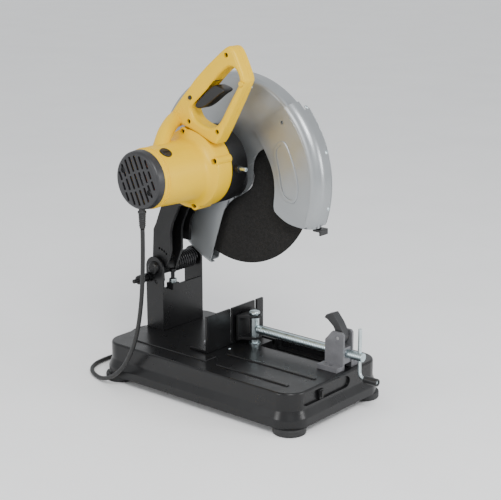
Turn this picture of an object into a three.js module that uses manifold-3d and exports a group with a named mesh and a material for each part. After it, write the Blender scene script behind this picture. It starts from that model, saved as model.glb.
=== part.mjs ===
// Abrasive chop saw: pressed-steel base with fence, quick-release vise and pivot post, and a motor arm with a
// guarded cutting wheel.
// Units are millimetres, +Z is up, the operator stands at -Y and +X is the operator's right.
import * as THREE from 'three';
import { mergeVertices } from 'three/addons/utils/BufferGeometryUtils.js';
import Module from 'manifold-3d';

const wasm = await Module();
wasm.setup();

// ---------------------------------------------------------------- driving sizes
const GAP = 0.3;

// The base is symmetrical about x = 0 and y = 0 before the whole saw is moved to its own origin.
const BASE_WIDTH = 274;
const BASE_LENGTH = 474;
const BASE_TOP = 79.5;
const SKIRT_BOTTOM = 14;
const SKIRT_FLARE = 6.5;
const SHEET = 2.5;

// The saw's arm turns about PIVOT; the wheel's spindle and the motor shaft are parallel to it.
const PIVOT = { y: 206, z: 208 };
const SPINDLE = { y: 67, z: 402.8 };
const MOTOR = { y: 88.7, z: 429.6 };

const WHEEL_X = 80;
const WHEEL_RADIUS = 177.5;
const WHEEL_THICKNESS = 3;

const POST_LEFT = -22;
const POST_RIGHT = 96;
const POST_PLATE = 5;

const FIXED_GUARD = { x0: 60, x1: 96, radius: 200, sheet: 2 };
const LOWER_GUARD = { x0: 56.6, x1: 100.4, radius: 211, sheet: 2 };

const FLANGE_RADIUS = 76;
const MOTOR_END = -165;
const CAP_END = -183;

const HANDLE = { x0: -47, x1: -13 };

const VISE = { x: 42, z: 109, front: -262, back: -12 };
const CORD_RADIUS = 4.2;

// The origin lies on the floor under the middle of the saw's outline.
const ORIGIN = { x: -19.5, y: -14.5 };

// ---------------------------------------------------------------- materials
function paint(color, roughness, metalness) {
  return new THREE.MeshStandardMaterial({ color, roughness, metalness });
}

const MATERIALS = {
  black_steel: () => paint(0x1c1c1e, 0.42, 0.6),
  black_cast: () => paint(0x18181a, 0.5, 0.3),
  gray_cast: () => paint(0x77777b, 0.55, 0.7),
  yellow_shell: () => paint(0xe8c02c, 0.45, 0),
  black_plastic: () => paint(0x2a2a2c, 0.5, 0),
  gray_plastic: () => paint(0x55565a, 0.5, 0),
  silver_guard: () => paint(0xa0a5a8, 0.38, 0.75),
  zinc: () => paint(0xb4c2c4, 0.3, 1),
  steel: () => paint(0x9a9c9e, 0.35, 1),
  abrasive: () => paint(0x2c2b29, 0.95, 0),
  rubber: () => paint(0x161616, 0.8, 0),
  copper: () => paint(0xa8643c, 0.4, 0.9),
  carbon: () => paint(0x2b2b2b, 0.7, 0.1),
};

// ---------------------------------------------------------------- shape helpers
// The closed solid of a three.js geometry, ready to be joined and cut.
function solid(geometry) {
  const bare = geometry.index ? geometry.toNonIndexed() : geometry.clone();
  bare.deleteAttribute('normal');
  bare.deleteAttribute('uv');
  const merged = mergeVertices(bare, 1e-4);
  const mesh = new wasm.Mesh({
    numProp: 3,
    vertProperties: new Float32Array(merged.attributes.position.array),
    triVerts: new Uint32Array(merged.index.array),
  });
  return new wasm.Manifold(mesh);
}

function join(...parts) {
  return parts.reduce((whole, part) => whole.add(part));
}

function cut(body, ...tools) {
  return tools.reduce((rest, tool) => rest.subtract(tool), body);
}

function box(x0, x1, y0, y1, z0, z1) {
  const geometry = new THREE.BoxGeometry(x1 - x0, y1 - y0, z1 - z0);
  geometry.translate((x0 + x1) / 2, (y0 + y1) / 2, (z0 + z1) / 2);
  return solid(geometry);
}

const toX = new THREE.Matrix4().makeBasis(
  new THREE.Vector3(0, 1, 0), new THREE.Vector3(0, 0, 1), new THREE.Vector3(1, 0, 0));
const toY = new THREE.Matrix4().makeBasis(
  new THREE.Vector3(1, 0, 0), new THREE.Vector3(0, 0, 1), new THREE.Vector3(0, -1, 0));

function extrudeShape(shape, length, bevel, segments) {
  const soft = bevel > 0;
  return new THREE.ExtrudeGeometry(shape, {
    depth: length - 2 * bevel,
    bevelEnabled: soft,
    bevelThickness: bevel,
    bevelSize: bevel,
    bevelOffset: -bevel,
    bevelSegments: segments,
    curveSegments: 4,
  }).translate(0, 0, bevel);
}

const asShape = (outline) => (outline instanceof THREE.Shape ? outline
  : new THREE.Shape(outline.map(([a, b]) => new THREE.Vector2(a, b))));

// Prisms along each axis: the outline is (y, z) for X, (x, z) for Y and (x, y) for Z.
function prismX(outline, x0, x1, bevel = 0, segments = 2) {
  const geometry = extrudeShape(asShape(outline), x1 - x0, bevel, segments);
  return solid(geometry.applyMatrix4(toX).translate(x0, 0, 0));
}

function prismY(outline, y0, y1, bevel = 0, segments = 2) {
  const geometry = extrudeShape(asShape(outline), y1 - y0, bevel, segments);
  return solid(geometry.applyMatrix4(toY).translate(0, y1, 0));
}

function prismZ(outline, z0, z1, bevel = 0, segments = 2) {
  return solid(extrudeShape(asShape(outline), z1 - z0, bevel, segments).translate(0, 0, z0));
}

// A turned solid about an X axis through (y, z); the profile is a list of [x, radius] points.
function turned(profile, y, z, segments = 28) {
  const points = profile.map(([x, radius]) => new THREE.Vector2(radius, x));
  const geometry = new THREE.LatheGeometry(points, segments);
  return solid(geometry.rotateZ(-Math.PI / 2).translate(0, y, z));
}

function cylinderX(x0, x1, y, z, radius, segments = 20) {
  const geometry = new THREE.CylinderGeometry(radius, radius, x1 - x0, segments);
  return solid(geometry.rotateZ(-Math.PI / 2).translate((x0 + x1) / 2, y, z));
}

function cylinderY(x, y0, y1, z, radius, segments = 16) {
  const geometry = new THREE.CylinderGeometry(radius, radius, y1 - y0, segments);
  return solid(geometry.translate(x, (y0 + y1) / 2, z));
}

function cylinderZ(x, y, z0, z1, radius, segments = 16) {
  const geometry = new THREE.CylinderGeometry(radius, radius, z1 - z0, segments);
  return solid(geometry.rotateX(Math.PI / 2).translate(x, y, (z0 + z1) / 2));
}

// A round bar between two points.
function bar(from, to, radius, endRadius = radius, segments = 20) {
  const start = new THREE.Vector3(...from);
  const end = new THREE.Vector3(...to);
  const along = end.clone().sub(start);
  const geometry = new THREE.CylinderGeometry(endRadius, radius, along.length(), segments);
  const up = new THREE.Vector3(0, 1, 0);
  const turn = new THREE.Quaternion().setFromUnitVectors(up, along.clone().normalize());
  geometry.applyQuaternion(turn).translate(...start.add(end).multiplyScalar(0.5).toArray());
  return solid(geometry);
}

// A round tube along a smooth curve through the given points.
function tube(points, radius, steps, sides = 10) {
  const section = new THREE.Shape();
  for (let side = 0; side < sides; side += 1) {
    const turn = (side * 2 * Math.PI) / sides;
    const [x, y] = [radius * Math.cos(turn), radius * Math.sin(turn)];
    if (side === 0) section.moveTo(x, y);
    else section.lineTo(x, y);
  }
  const stops = points.map((point) => new THREE.Vector3(...point));
  const path = new THREE.CatmullRomCurve3(stops, false, 'centripetal');
  return solid(new THREE.ExtrudeGeometry(section, { steps, bevelEnabled: false, extrudePath: path }));
}

function roundedRect(x0, x1, y0, y1, radius) {
  const shape = new THREE.Shape();
  shape.moveTo(x0 + radius, y0);
  shape.lineTo(x1 - radius, y0);
  shape.absarc(x1 - radius, y0 + radius, radius, -Math.PI / 2, 0);
  shape.lineTo(x1, y1 - radius);
  shape.absarc(x1 - radius, y1 - radius, radius, 0, Math.PI / 2);
  shape.lineTo(x0 + radius, y1);
  shape.absarc(x0 + radius, y1 - radius, radius, Math.PI / 2, Math.PI);
  shape.lineTo(x0, y0 + radius);
  shape.absarc(x0 + radius, y0 + radius, radius, Math.PI, 1.5 * Math.PI);
  return shape;
}

const degrees = (angle) => (angle * Math.PI) / 180;

// Points of an arc about a centre, with angles measured from +Y towards +Z.
function arc(center, radius, from, to, steps) {
  const points = [];
  for (let step = 0; step <= steps; step += 1) {
    const angle = degrees(from + ((to - from) * step) / steps);
    points.push([center.y + radius * Math.cos(angle), center.z + radius * Math.sin(angle)]);
  }
  return points;
}

function hexagonX(x0, x1, y, z, acrossFlats) {
  return cylinderX(x0, x1, y, z, acrossFlats / Math.sqrt(3), 6);
}

// ---------------------------------------------------------------- the scene
const saw = new THREE.Group();
saw.name = 'abrasive_chop_saw';
saw.position.set(-ORIGIN.x, -ORIGIN.y, 0);

function place(name, body, material) {
  const data = body.getMesh();
  const geometry = new THREE.BufferGeometry();
  geometry.setAttribute('position', new THREE.BufferAttribute(new Float32Array(data.vertProperties), 3));
  geometry.setIndex(new THREE.BufferAttribute(new Uint32Array(data.triVerts), 1));
  geometry.computeVertexNormals();
  const mesh = new THREE.Mesh(geometry, MATERIALS[material]());
  mesh.name = name;
  saw.add(mesh);
}

// ---------------------------------------------------------------- base and feet
const WHEEL_WELL = { x0: 34.5, x1: 100, y0: -186, y1: -20, depth: 20 };
const FOOT_X = 113;
const FOOT_Y = 213;
const FOOT_RADIUS = 31;

// The base's outer form, drawn in by inset on every side: straight walls
// above a shoulder that flares to a skirt.
function baseForm(inset) {
  const [halfWidth, halfLength] = [BASE_WIDTH / 2 - inset, BASE_LENGTH / 2 - inset];
  const [skirtX, skirtY] = [halfWidth + SKIRT_FLARE, halfLength + SKIRT_FLARE];
  const wallShape = roundedRect(-halfWidth, halfWidth, -halfLength, halfLength, 38 - inset);
  const walls = prismZ(wallShape, 30, BASE_TOP - inset, 3, 1);
  const skirtShape = roundedRect(-skirtX, skirtX, -skirtY, skirtY, 44 - inset);
  const skirt = solid(new THREE.ExtrudeGeometry(skirtShape, {
    depth: 16, bevelEnabled: true, bevelThickness: 15, bevelSize: SKIRT_FLARE,
    bevelOffset: -SKIRT_FLARE, bevelSegments: 1, curveSegments: 4,
  }).translate(0, 0, SKIRT_BOTTOM));
  const belowSkirt = box(-400, 400, -400, 400, -60, inset > 0 ? -20 : SKIRT_BOTTOM);
  return cut(join(walls, skirt), belowSkirt);
}

function ridge(points, width, height) {
  const runs = points.slice(1).map((point, index) => {
    const [x0, y0] = points[index];
    const [x1, y1] = point;
    const end = Math.hypot(x1 - x0, y1 - y0) + width / 2;
    const slot = roundedRect(-width / 2, end, -width / 2, width / 2, width / 2.2);
    const geometry = extrudeShape(slot, 6, 0, 1);
    return solid(geometry.rotateZ(Math.atan2(y1 - y0, x1 - x0)).translate(x0, y0, BASE_TOP + height - 6));
  });
  return join(...runs);
}

function makeBase() {
  const inner = join(baseForm(SHEET), box(-140, 140, -240, 240, -20, SKIRT_BOTTOM + 1));
  let shell = cut(baseForm(0), inner);
  const { x0, x1, y0, y1, depth } = WHEEL_WELL;
  const collarShape = roundedRect(x0 - SHEET, x1 + SHEET, y0 - SHEET, y1 + SHEET, 10);
  const collar = prismZ(collarShape, BASE_TOP - depth, BASE_TOP - 1);
  const well = prismZ(roundedRect(x0, x1, y0, y1, 7.5), BASE_TOP - depth - 5, BASE_TOP + 5);
  const slotBehindWell = box(WHEEL_X - 5, WHEEL_X + 5, y1 - 8, 62, BASE_TOP - depth - 5, BASE_TOP + 5);
  const front = -BASE_LENGTH / 2;
  const toolPocketWall = prismY(roundedRect(-109, 40, 46, 76, 13), front + 1, front + 7);
  const toolPocket = prismY(roundedRect(-105, 36, 50, 72, 10.5), front - 5, front + 4.5);
  const ribs = [
    ridge([[-98, -31], [-98, -194]], 9, 1.4),
    ridge([[-40, -5], [-40, -211]], 9, 1.4),
    ridge([[-98, 186], [-98, 4], [-72, -3]], 5, 1.2),
  ];
  shell = join(shell, collar, toolPocketWall, ...ribs);
  for (const sideX of [-1, 1]) {
    for (const sideY of [-1, 1]) {
      shell = shell.add(cylinderZ(sideX * FOOT_X, sideY * FOOT_Y, 26.3, BASE_TOP - 1, 9, 6));
    }
  }
  place('base_shell', cut(shell, well, slotBehindWell, toolPocket), 'black_steel');
}

function makeFeet() {
  const corners = { front_left: [-1, -1], front_right: [1, -1], rear_left: [-1, 1], rear_right: [1, 1] };
  for (const [corner, [sideX, sideY]] of Object.entries(corners)) {
    const [x, y] = [sideX * FOOT_X, sideY * FOOT_Y];
    const pad = cylinderZ(x, y, 0, SKIRT_BOTTOM - GAP, FOOT_RADIUS, 24);
    const plug = cylinderZ(x, y, SKIRT_BOTTOM - 2, 26, 22);
    place(`foot_${corner}`, join(pad, plug), 'rubber');
  }
}

function makeToolClip() {
  const clip = join(
    box(-58, -46, -BASE_LENGTH / 2 - 1.5, -BASE_LENGTH / 2 + 4.2, 52, 70),
    box(-55, -49, -BASE_LENGTH / 2 - 4, -BASE_LENGTH / 2 - 1, 55, 67));
  place('wrench_clip', clip, 'steel');
}

// ---------------------------------------------------------------- fence
const FENCE = { x0: -66, x1: 103, face: 26, thickness: 5, top: 153, footDepth: 46 };

function makeFence() {
  const { x0, x1, face, thickness, top, footDepth } = FENCE;
  const foot = BASE_TOP + GAP;
  const plate = box(x0, x1, face, face + thickness, foot, top);
  const leg = box(x0, x1, face, face + footDepth, foot, foot + thickness);
  const wheelSlot = box(WHEEL_X - 3, WHEEL_X + 3, face - 1, face + 30, foot - 1, top + 1);
  const mitreSlot = box(3.2, 8.2, face - 1, face + thickness + 1, foot + thickness, top + 1);
  const boltHoles = [-34, 44].map((x) => cylinderZ(x, face + 26, foot - 1, foot + thickness + 1, 5.4));
  place('fence', cut(join(plate, leg), wheelSlot, mitreSlot, ...boltHoles), 'black_steel');
  ['left', 'right'].forEach((side, index) => {
    const x = [-34, 44][index];
    const seat = foot + thickness + GAP;
    const head = cylinderZ(x, face + 26, seat, seat + 7, 9.2, 6);
    const shank = cylinderZ(x, face + 26, foot, seat + 2, 5);
    place(`fence_bolt_${side}`, join(head, shank), 'steel');
  });
}

// ---------------------------------------------------------------- pivot post
const WEB_TOP = 169;
const LOCK_PIN = { y: 219, z: 187 };
const STOP_BOLT = { x: 5, y: 181 };

function makePost() {
  const foot = BASE_TOP + GAP;
  const radius = 23;
  const outline = [[PIVOT.y + radius, foot], ...arc(PIVOT, radius, 0, 180, 16), [PIVOT.y - radius, foot]];
  const left = prismX(outline, POST_LEFT, POST_LEFT + POST_PLATE);
  const right = prismX(outline, POST_RIGHT - POST_PLATE, POST_RIGHT);
  const front = PIVOT.y - radius;
  const web = box(POST_LEFT + 1, POST_RIGHT - 1, front, front + POST_PLATE, foot, WEB_TOP);
  const floor = box(POST_LEFT + 1, POST_RIGHT - 1, front, PIVOT.y + radius, foot, foot + 6);
  const { x, y } = STOP_BOLT;
  const stopLug = box(x - 9, x + 9, y - 9, y + 9, WEB_TOP - 5, WEB_TOP + 8);
  const pivotBore = cylinderX(POST_LEFT - 1, POST_RIGHT + 1, PIVOT.y, PIVOT.z, 8.1, 24);
  const lockBore = cylinderX(POST_LEFT - 9, POST_LEFT + 6, LOCK_PIN.y, LOCK_PIN.z, 5.3);
  const lockRecess = cylinderX(POST_LEFT - 9, POST_LEFT - 0.5, LOCK_PIN.y, LOCK_PIN.z, 7.8);
  const stopBore = cylinderZ(x, y, WEB_TOP - 9, WEB_TOP + 9, 4.3);
  const lockCollar = cylinderX(POST_LEFT - 8, POST_LEFT + 1, LOCK_PIN.y, LOCK_PIN.z, 9.5);
  const post = join(left, right, web, floor, stopLug, lockCollar);
  place('pivot_post', cut(post, pivotBore, lockBore, lockRecess, stopBore), 'black_steel');
}

function makePivotHardware() {
  const head = turned([[POST_LEFT - 9, 0], [POST_LEFT - 9, 7], [POST_LEFT - 6, 12], [POST_LEFT - GAP, 14],
    [POST_LEFT - GAP, 0]], PIVOT.y, PIVOT.z, 20);
  const shaft = cylinderX(POST_LEFT - 1, POST_RIGHT + 14, PIVOT.y, PIVOT.z, 8, 40);
  place('pivot_bolt', join(head, shaft), 'black_cast');
  const nut = cut(hexagonX(POST_RIGHT + GAP, POST_RIGHT + 11, PIVOT.y, PIVOT.z, 24),
    cylinderX(POST_RIGHT, POST_RIGHT + 12, PIVOT.y, PIVOT.z, 8.3));
  place('pivot_nut', nut, 'steel');
  const stopShank = cylinderZ(STOP_BOLT.x, STOP_BOLT.y, WEB_TOP - 4, 200, 4);
  const stopHead = cylinderZ(STOP_BOLT.x, STOP_BOLT.y, 199, 205.5, 7.2, 6);
  place('depth_stop_bolt', join(stopShank, stopHead), 'black_cast');
  const jamNut = cut(cylinderZ(STOP_BOLT.x, STOP_BOLT.y, WEB_TOP + 8 + GAP, WEB_TOP + 16, 8.2, 6),
    cylinderZ(STOP_BOLT.x, STOP_BOLT.y, WEB_TOP, WEB_TOP + 20, 4.3));
  place('depth_stop_nut', jamNut, 'zinc');
}

// The transport pin stands clear of the arm and slides along X through the post's left plate into a hole in the
// arm.
function makeLockPin() {
  const { y, z } = LOCK_PIN;
  const body = turned([
    [-46, 0], [-46, 4.2], [-34, 4.6], [-33, 9], [-22, 10], [-21, 7.5], [-10, 7.5], [-9, 5], [4, 5], [4.7, 4],
    [4.7, 0],
  ], y, z, 24);
  place('arm_lock_pin', body.translate([POST_LEFT, 0, 0]), 'black_cast');
}

// The torsion spring that holds the arm up is wound round the hub.
function makeReturnSpring() {
  const [turns, x0, pitch, radius] = [9, 30, 6.3, 17.5];
  class Helix extends THREE.Curve {
    getPoint(t, target = new THREE.Vector3()) {
      const turn = Math.PI + t * turns * 2 * Math.PI;
      const [y, z] = [radius * Math.cos(turn), radius * Math.sin(turn)];
      return target.set(x0 + t * turns * pitch, PIVOT.y + y, PIVOT.z + z);
    }
  }
  const section = new THREE.Shape();
  for (let side = 0; side < 6; side += 1) {
    const turn = (side * Math.PI) / 3;
    const corner = [1.7 * Math.cos(turn), 1.7 * Math.sin(turn)];
    if (side === 0) section.moveTo(...corner);
    else section.lineTo(...corner);
  }
  const coil = solid(new THREE.ExtrudeGeometry(section, {
    steps: turns * 10, bevelEnabled: false, extrudePath: new Helix(),
  }));
  place('return_spring', coil, 'steel');
}

// ---------------------------------------------------------------- vise
const BRACKET = { near: 26, far: 58, cheek: 5, y0: -228, y1: -186, top: 152 };
const LEVER_PIVOT = { y: -214, z: 140 };

function makeViseBracket() {
  const { near, far, cheek, y0, y1, top } = BRACKET;
  const foot = BASE_TOP + GAP;
  const outline = [[y0, foot], [y1, foot], [y1, 133], [y1 - 16, top], [y0 + 4, top], [y0, top - 4]];
  const nearCheek = prismX(outline, near, near + cheek);
  const farCheek = prismX(outline, far - cheek, far);
  const nearFoot = box(near - 19, near + 3, y0, y1 + 4, foot, foot + 9);
  const farFoot = box(far - 3, far + 17, y0, y1 + 4, foot, foot + 9);
  const bridge = box(near + 2, far - 2, y0 + 2, y1 - 2, VISE.z - 19, VISE.z + 15);
  const screwBore = cylinderY(VISE.x, y0 - 2, y1 + 2, VISE.z, 8.35, 32);
  const pinBore = cylinderX(near - 1, far + 1, LEVER_PIVOT.y, LEVER_PIVOT.z, 3.6);
  const boltHoles = [near - 9, far + 8].map((x) => cylinderZ(x, -207, foot - 1, foot + 10, 3.6));
  const body = join(nearCheek, farCheek, nearFoot, farFoot, bridge);
  const leverRoom = box(near + cheek, far - cheek, y0 - 1, y1 + 3, VISE.z + 12.5, top + 1);
  place('vise_bracket', cut(body, screwBore, pinBore, leverRoom, ...boltHoles), 'gray_cast');
}

function makeViseLever() {
  const outline = [
    [-221, 132], [-208, 131], [-205, 137], [-206, 146], [-199, 158], [-187, 168], [-178, 172],
    [-182, 178], [-197, 184], [-211, 168], [-222, 150], [-224, 141],
  ];
  const lever = prismX(outline, 33, 51, 1.2);
  const bore = cylinderX(30, 54, LEVER_PIVOT.y, LEVER_PIVOT.z, 3.6);
  place('vise_lever', cut(lever, bore), 'gray_plastic');
  place('vise_lever_pin', cylinderX(27, 57, LEVER_PIVOT.y, LEVER_PIVOT.z, 3.5), 'steel');
}

function makeViseScrew() {
  const { x, z, front, back } = VISE;
  const rod = cylinderY(x, front, back - 0.2, z, 8.2, 32);
  const crankBore = cylinderZ(x, front + 8, z - 12, z + 12, 4.1);
  place('vise_screw', cut(rod, crankBore), 'zinc');
  const y = front + 8;
  const crank = tube([
    [x, y, z + 54], [x, y, z + 30], [x, y, z - 24], [x, y - 1, z - 34], [x, y - 6, z - 39.5],
    [x, y - 14, z - 41], [x, y - 40, z - 41],
  ], 3.6, 26, 10);
  place('crank_rod', crank, 'zinc');
  const grip = turned([[0, 3.9], [0, 6.6], [2, 7.4], [28, 7.4], [30, 6.6], [30, 3.9], [0, 3.9]], 0, 0, 20)
    .rotate([0, 0, 90]).translate([x, y - 42, z - 41]);
  place('crank_grip', grip, 'black_plastic');
}

// The jaw is a plate with gussets that hangs on an upright pin at the end of the screw.
function makeJaw() {
  const { x, z } = VISE;
  const pinY = -2;
  const pinBody = join(cylinderZ(x, pinY, 83, 139.5, 9, 20), cylinderZ(x, pinY, 141, 143.5, 10.5, 20));
  const dome = solid(new THREE.SphereGeometry(10.5, 16, 6).scale(1, 1, 0.32).translate(x, pinY, 143.5));
  const neck = cylinderZ(x, pinY, 138, 142, 7, 20);
  const washer = cylinderZ(x, pinY, BASE_TOP + GAP, BASE_TOP + 2, 12, 20);
  const stub = cylinderZ(x, pinY, BASE_TOP + 1, 84, 7, 20);
  place('jaw_pin', join(pinBody, dome, neck, washer, stub), 'zinc');
  const face = box(x - 30, x + 30, 15.5, 20, 88, 139);
  const shelf = [
    [x - 30, 19], [x + 30, 19], [x + 12, pinY - 9], [x + 5, pinY - 14], [x - 5, pinY - 14],
    [x - 12, pinY - 9],
  ];
  const topGusset = prismZ(shelf, 134, 139);
  const lowGusset = prismZ(shelf, 90, 95);
  const bore = cylinderZ(x, pinY, 80, 150, 9.3, 20);
  place('vise_jaw', cut(join(face, topGusset, lowGusset), bore), 'black_cast');
}

// ---------------------------------------------------------------- arm
// The transport pin finds one hole with the arm raised and the other with it down by ARM_TRAVEL.
const ARM_TRAVEL = 44.6;
const LOCK_HOLES = [0, -ARM_TRAVEL].map((turn) => {
  const [y, z] = [LOCK_PIN.y - PIVOT.y, LOCK_PIN.z - PIVOT.z];
  const [cosine, sine] = [Math.cos(degrees(turn)), Math.sin(degrees(turn))];
  return [PIVOT.y + y * cosine - z * sine, PIVOT.z + y * sine + z * cosine];
});

function makeArm() {
  const walls = [
    [221, 200], [219, 232], [216, 285], [209, 298], [194, 334], [168, 378], [146, 402], [112, 372],
    [126, 354], [146, 342], [166, 303], [171, 285], [171, 245], [189, 200],
  ];
  const back = [
    [221, 205], [219, 232], [216, 285], [209, 298], [194, 334], [168, 378], [146, 402], [139, 396],
    [161, 373], [187, 330], [202, 295], [209, 283], [212, 232], [213, 212],
  ];
  const left = prismX(walls, -12, -5.5);
  const middle = prismX(walls, 20, 26);
  const right = prismX([[216, 258], ...walls.slice(2, 12), [171, 258]], 44, 50);
  const web = prismX(back, -12, 26);
  const wideWeb = prismX([[217, 258], ...back.slice(2, 12), [211, 258]], 20, 50);
  const hub = cylinderX(-16.5, 90.5, PIVOT.y, PIVOT.z, 13.5, 40);
  const leftBoss = cylinderX(-16.5, 27, PIVOT.y, PIVOT.z, 17, 40);
  const saddle = prismX([[168, 378], [146, 402], [100, 376], [112, 352], [146, 342]], -12, 50);
  const stopPad = prismX([[191.0, 219.8], [182.4, 228.2], [190.8, 236.8], [199.4, 228.3]], -7, 13);
  const lockPlate = prismX([
    [228, 190], [220, 177.6], [200, 174.5], [191.3, 182], [193, 208], [219, 208],
  ], -16.5, -7);
  const lockEyes = LOCK_HOLES.map(([y, z]) => cylinderX(-16.5, -7, y, z, 9.4));
  const bore = cylinderX(-20, 95, PIVOT.y, PIVOT.z, 8.1, 40);
  const flangeRoom = cylinderX(-60, 70, MOTOR.y, MOTOR.z, FLANGE_RADIUS + GAP, 44);
  const lockBores = LOCK_HOLES.map(([y, z]) => cylinderX(-20, 0, y, z, 5.4));
  const springRoom = cylinderX(27.4, 90.5, PIVOT.y, PIVOT.z, 21);
  const hubCore = cylinderX(20, 90.5, PIVOT.y, PIVOT.z, 13.5, 40);
  const indexHoles = [98, 108, 118, 128].map((angle) => {
    const [[y, z]] = arc(PIVOT, 40, angle, angle, 1);
    return cylinderX(-13, -4, y, z, 2.6, 12);
  });
  const body = join(left, middle, right, web, wideWeb, leftBoss, saddle, stopPad, lockPlate, ...lockEyes);
  const cleared = cut(body, springRoom, flangeRoom);
  place('arm', cut(join(cleared, hubCore, hub), bore, ...lockBores, ...indexHoles), 'black_cast');
}

// ---------------------------------------------------------------- gear case and drive
const GEAR = { x0: 34, x1: 44, teeth: 37, pinionTeeth: 9, module: 1.5 };

function gearOutline(center, teeth, module, phase) {
  const pitchRadius = (teeth * module) / 2;
  const step = (2 * Math.PI) / teeth;
  const points = [];
  for (let tooth = 0; tooth < teeth; tooth += 1) {
    const middle = phase + tooth * step;
    const corners = [[pitchRadius - 1.15 * module, -0.27], [pitchRadius + 0.55 * module, -0.1],
      [pitchRadius + 0.55 * module, 0.1], [pitchRadius - 1.15 * module, 0.27]];
    for (const [radius, share] of corners) {
      const angle = middle + share * step;
      points.push([center.y + radius * Math.cos(angle), center.z + radius * Math.sin(angle)]);
    }
  }
  return points;
}

function makeGearCase() {
  const outer = turned([
    [-4.7, 0], [-4.7, FLANGE_RADIUS], [36, FLANGE_RADIUS], [46, 70], [52, 56], [55.5, 40], [55.5, 0],
  ], MOTOR.y, MOTOR.z, 36);
  const cavity = turned([[-6, 0], [-6, 69], [34, 69], [47, 66], [47, 0]], MOTOR.y, MOTOR.z, 36);
  const nose = cylinderX(46, 59.7, SPINDLE.y, SPINDLE.z, 34, 40);
  const noseWall = cylinderX(40, 55.5, SPINDLE.y, SPINDLE.z, 40, 40);
  const bearingSeat = cylinderX(44, 56, SPINDLE.y, SPINDLE.z, 21.3, 40);
  const spindleWay = cylinderX(40, 62, SPINDLE.y, SPINDLE.z, 14, 32);
  const lockWay = cylinderY(6, -10, 40, 433, 4.3);
  const lockBoss = cylinderY(6, 4, 22, 433, 8);
  const gearRoom = cylinderX(30, 45, SPINDLE.y, SPINDLE.z, 31, 40);
  const body = join(cut(join(outer, noseWall), cavity), nose, lockBoss);
  place('gear_case', cut(body, bearingSeat, spindleWay, lockWay, gearRoom), 'black_cast');
  place('spindle_lock_pin', cylinderY(6, -12, 24, 433, 4.1), 'zinc');
}

function ringX(x0, x1, center, inner, outer, segments = 32) {
  return cut(cylinderX(x0, x1, center.y, center.z, outer, segments),
    cylinderX(x0 - 1, x1 + 1, center.y, center.z, inner, segments));
}

function makeDrive() {
  const bearingPlate = cut(cylinderX(24, 30, MOTOR.y, MOTOR.z, 68.7, 56),
    cylinderX(23, 31, MOTOR.y, MOTOR.z, 7.4), cylinderX(23, 31, SPINDLE.y, SPINDLE.z, 8.4));
  place('bearing_plate', bearingPlate, 'gray_cast');
  place('spindle_bearing', ringX(44.3, 55.5, SPINDLE, 10.2, 21, 32), 'steel');
  const spindle = join(
    cylinderX(22, 46, SPINDLE.y, SPINDLE.z, 8.2), cylinderX(33, 76, SPINDLE.y, SPINDLE.z, 10),
    cylinderX(73, 86, SPINDLE.y, SPINDLE.z, 8));
  place('spindle', spindle, 'steel');
  const toPinion = Math.atan2(MOTOR.z - SPINDLE.z, MOTOR.y - SPINDLE.y);
  const wheelGear = prismX(gearOutline(SPINDLE, GEAR.teeth, GEAR.module, toPinion), GEAR.x0, GEAR.x1 - 0.5);
  place('output_gear', cut(wheelGear, cylinderX(30, 50, SPINDLE.y, SPINDLE.z, 10.2)), 'steel');
  const pinionPhase = toPinion + Math.PI + Math.PI / GEAR.pinionTeeth;
  const pinion = prismX(gearOutline(MOTOR, GEAR.pinionTeeth, GEAR.module, pinionPhase), GEAR.x0, GEAR.x1);
  const armature = join(
    cylinderX(-161, GEAR.x0 - 3, MOTOR.y, MOTOR.z, 7),
    cylinderX(GEAR.x0 - 4, GEAR.x1, MOTOR.y, MOTOR.z, 4.6),
    pinion,
    cylinderX(-106, -26, MOTOR.y, MOTOR.z, 27, 40),
    cylinderX(-148, -122, MOTOR.y, MOTOR.z, 15, 32));
  place('armature', armature, 'copper');
  let fan = cut(cylinderX(8, 10, MOTOR.y, MOTOR.z, 56, 40), cylinderX(0, 20, MOTOR.y, MOTOR.z, 20));
  fan = fan.add(ringX(0, 12, MOTOR, 7.3, 21, 32));
  for (let blade = 0; blade < 7; blade += 1) {
    const vane = box(0.5, 9, 22, 54, -1.2, 1.2).rotate([(blade * 360) / 7, 0, 0]);
    fan = fan.add(vane.translate([0, MOTOR.y, MOTOR.z]));
  }
  place('fan', fan, 'gray_plastic');
  place('stator', ringX(-108, -24, MOTOR, 28.5, 48.6, 40), 'steel');
  place('rear_bearing', ringX(-161, -152, MOTOR, 7.2, 14, 20), 'steel');
}

// ---------------------------------------------------------------- motor housing, cap and brushes
const BRUSH_X = -135;
const BRUSH_ANGLES = { upper: 120, lower: 300 };
const SCREW_ANGLES = [80, 161, 258, 345];

function brushPoint(angle, radius) {
  const [[y, z]] = arc(MOTOR, radius, angle, angle, 1);
  return [BRUSH_X, y, z];
}

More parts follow.
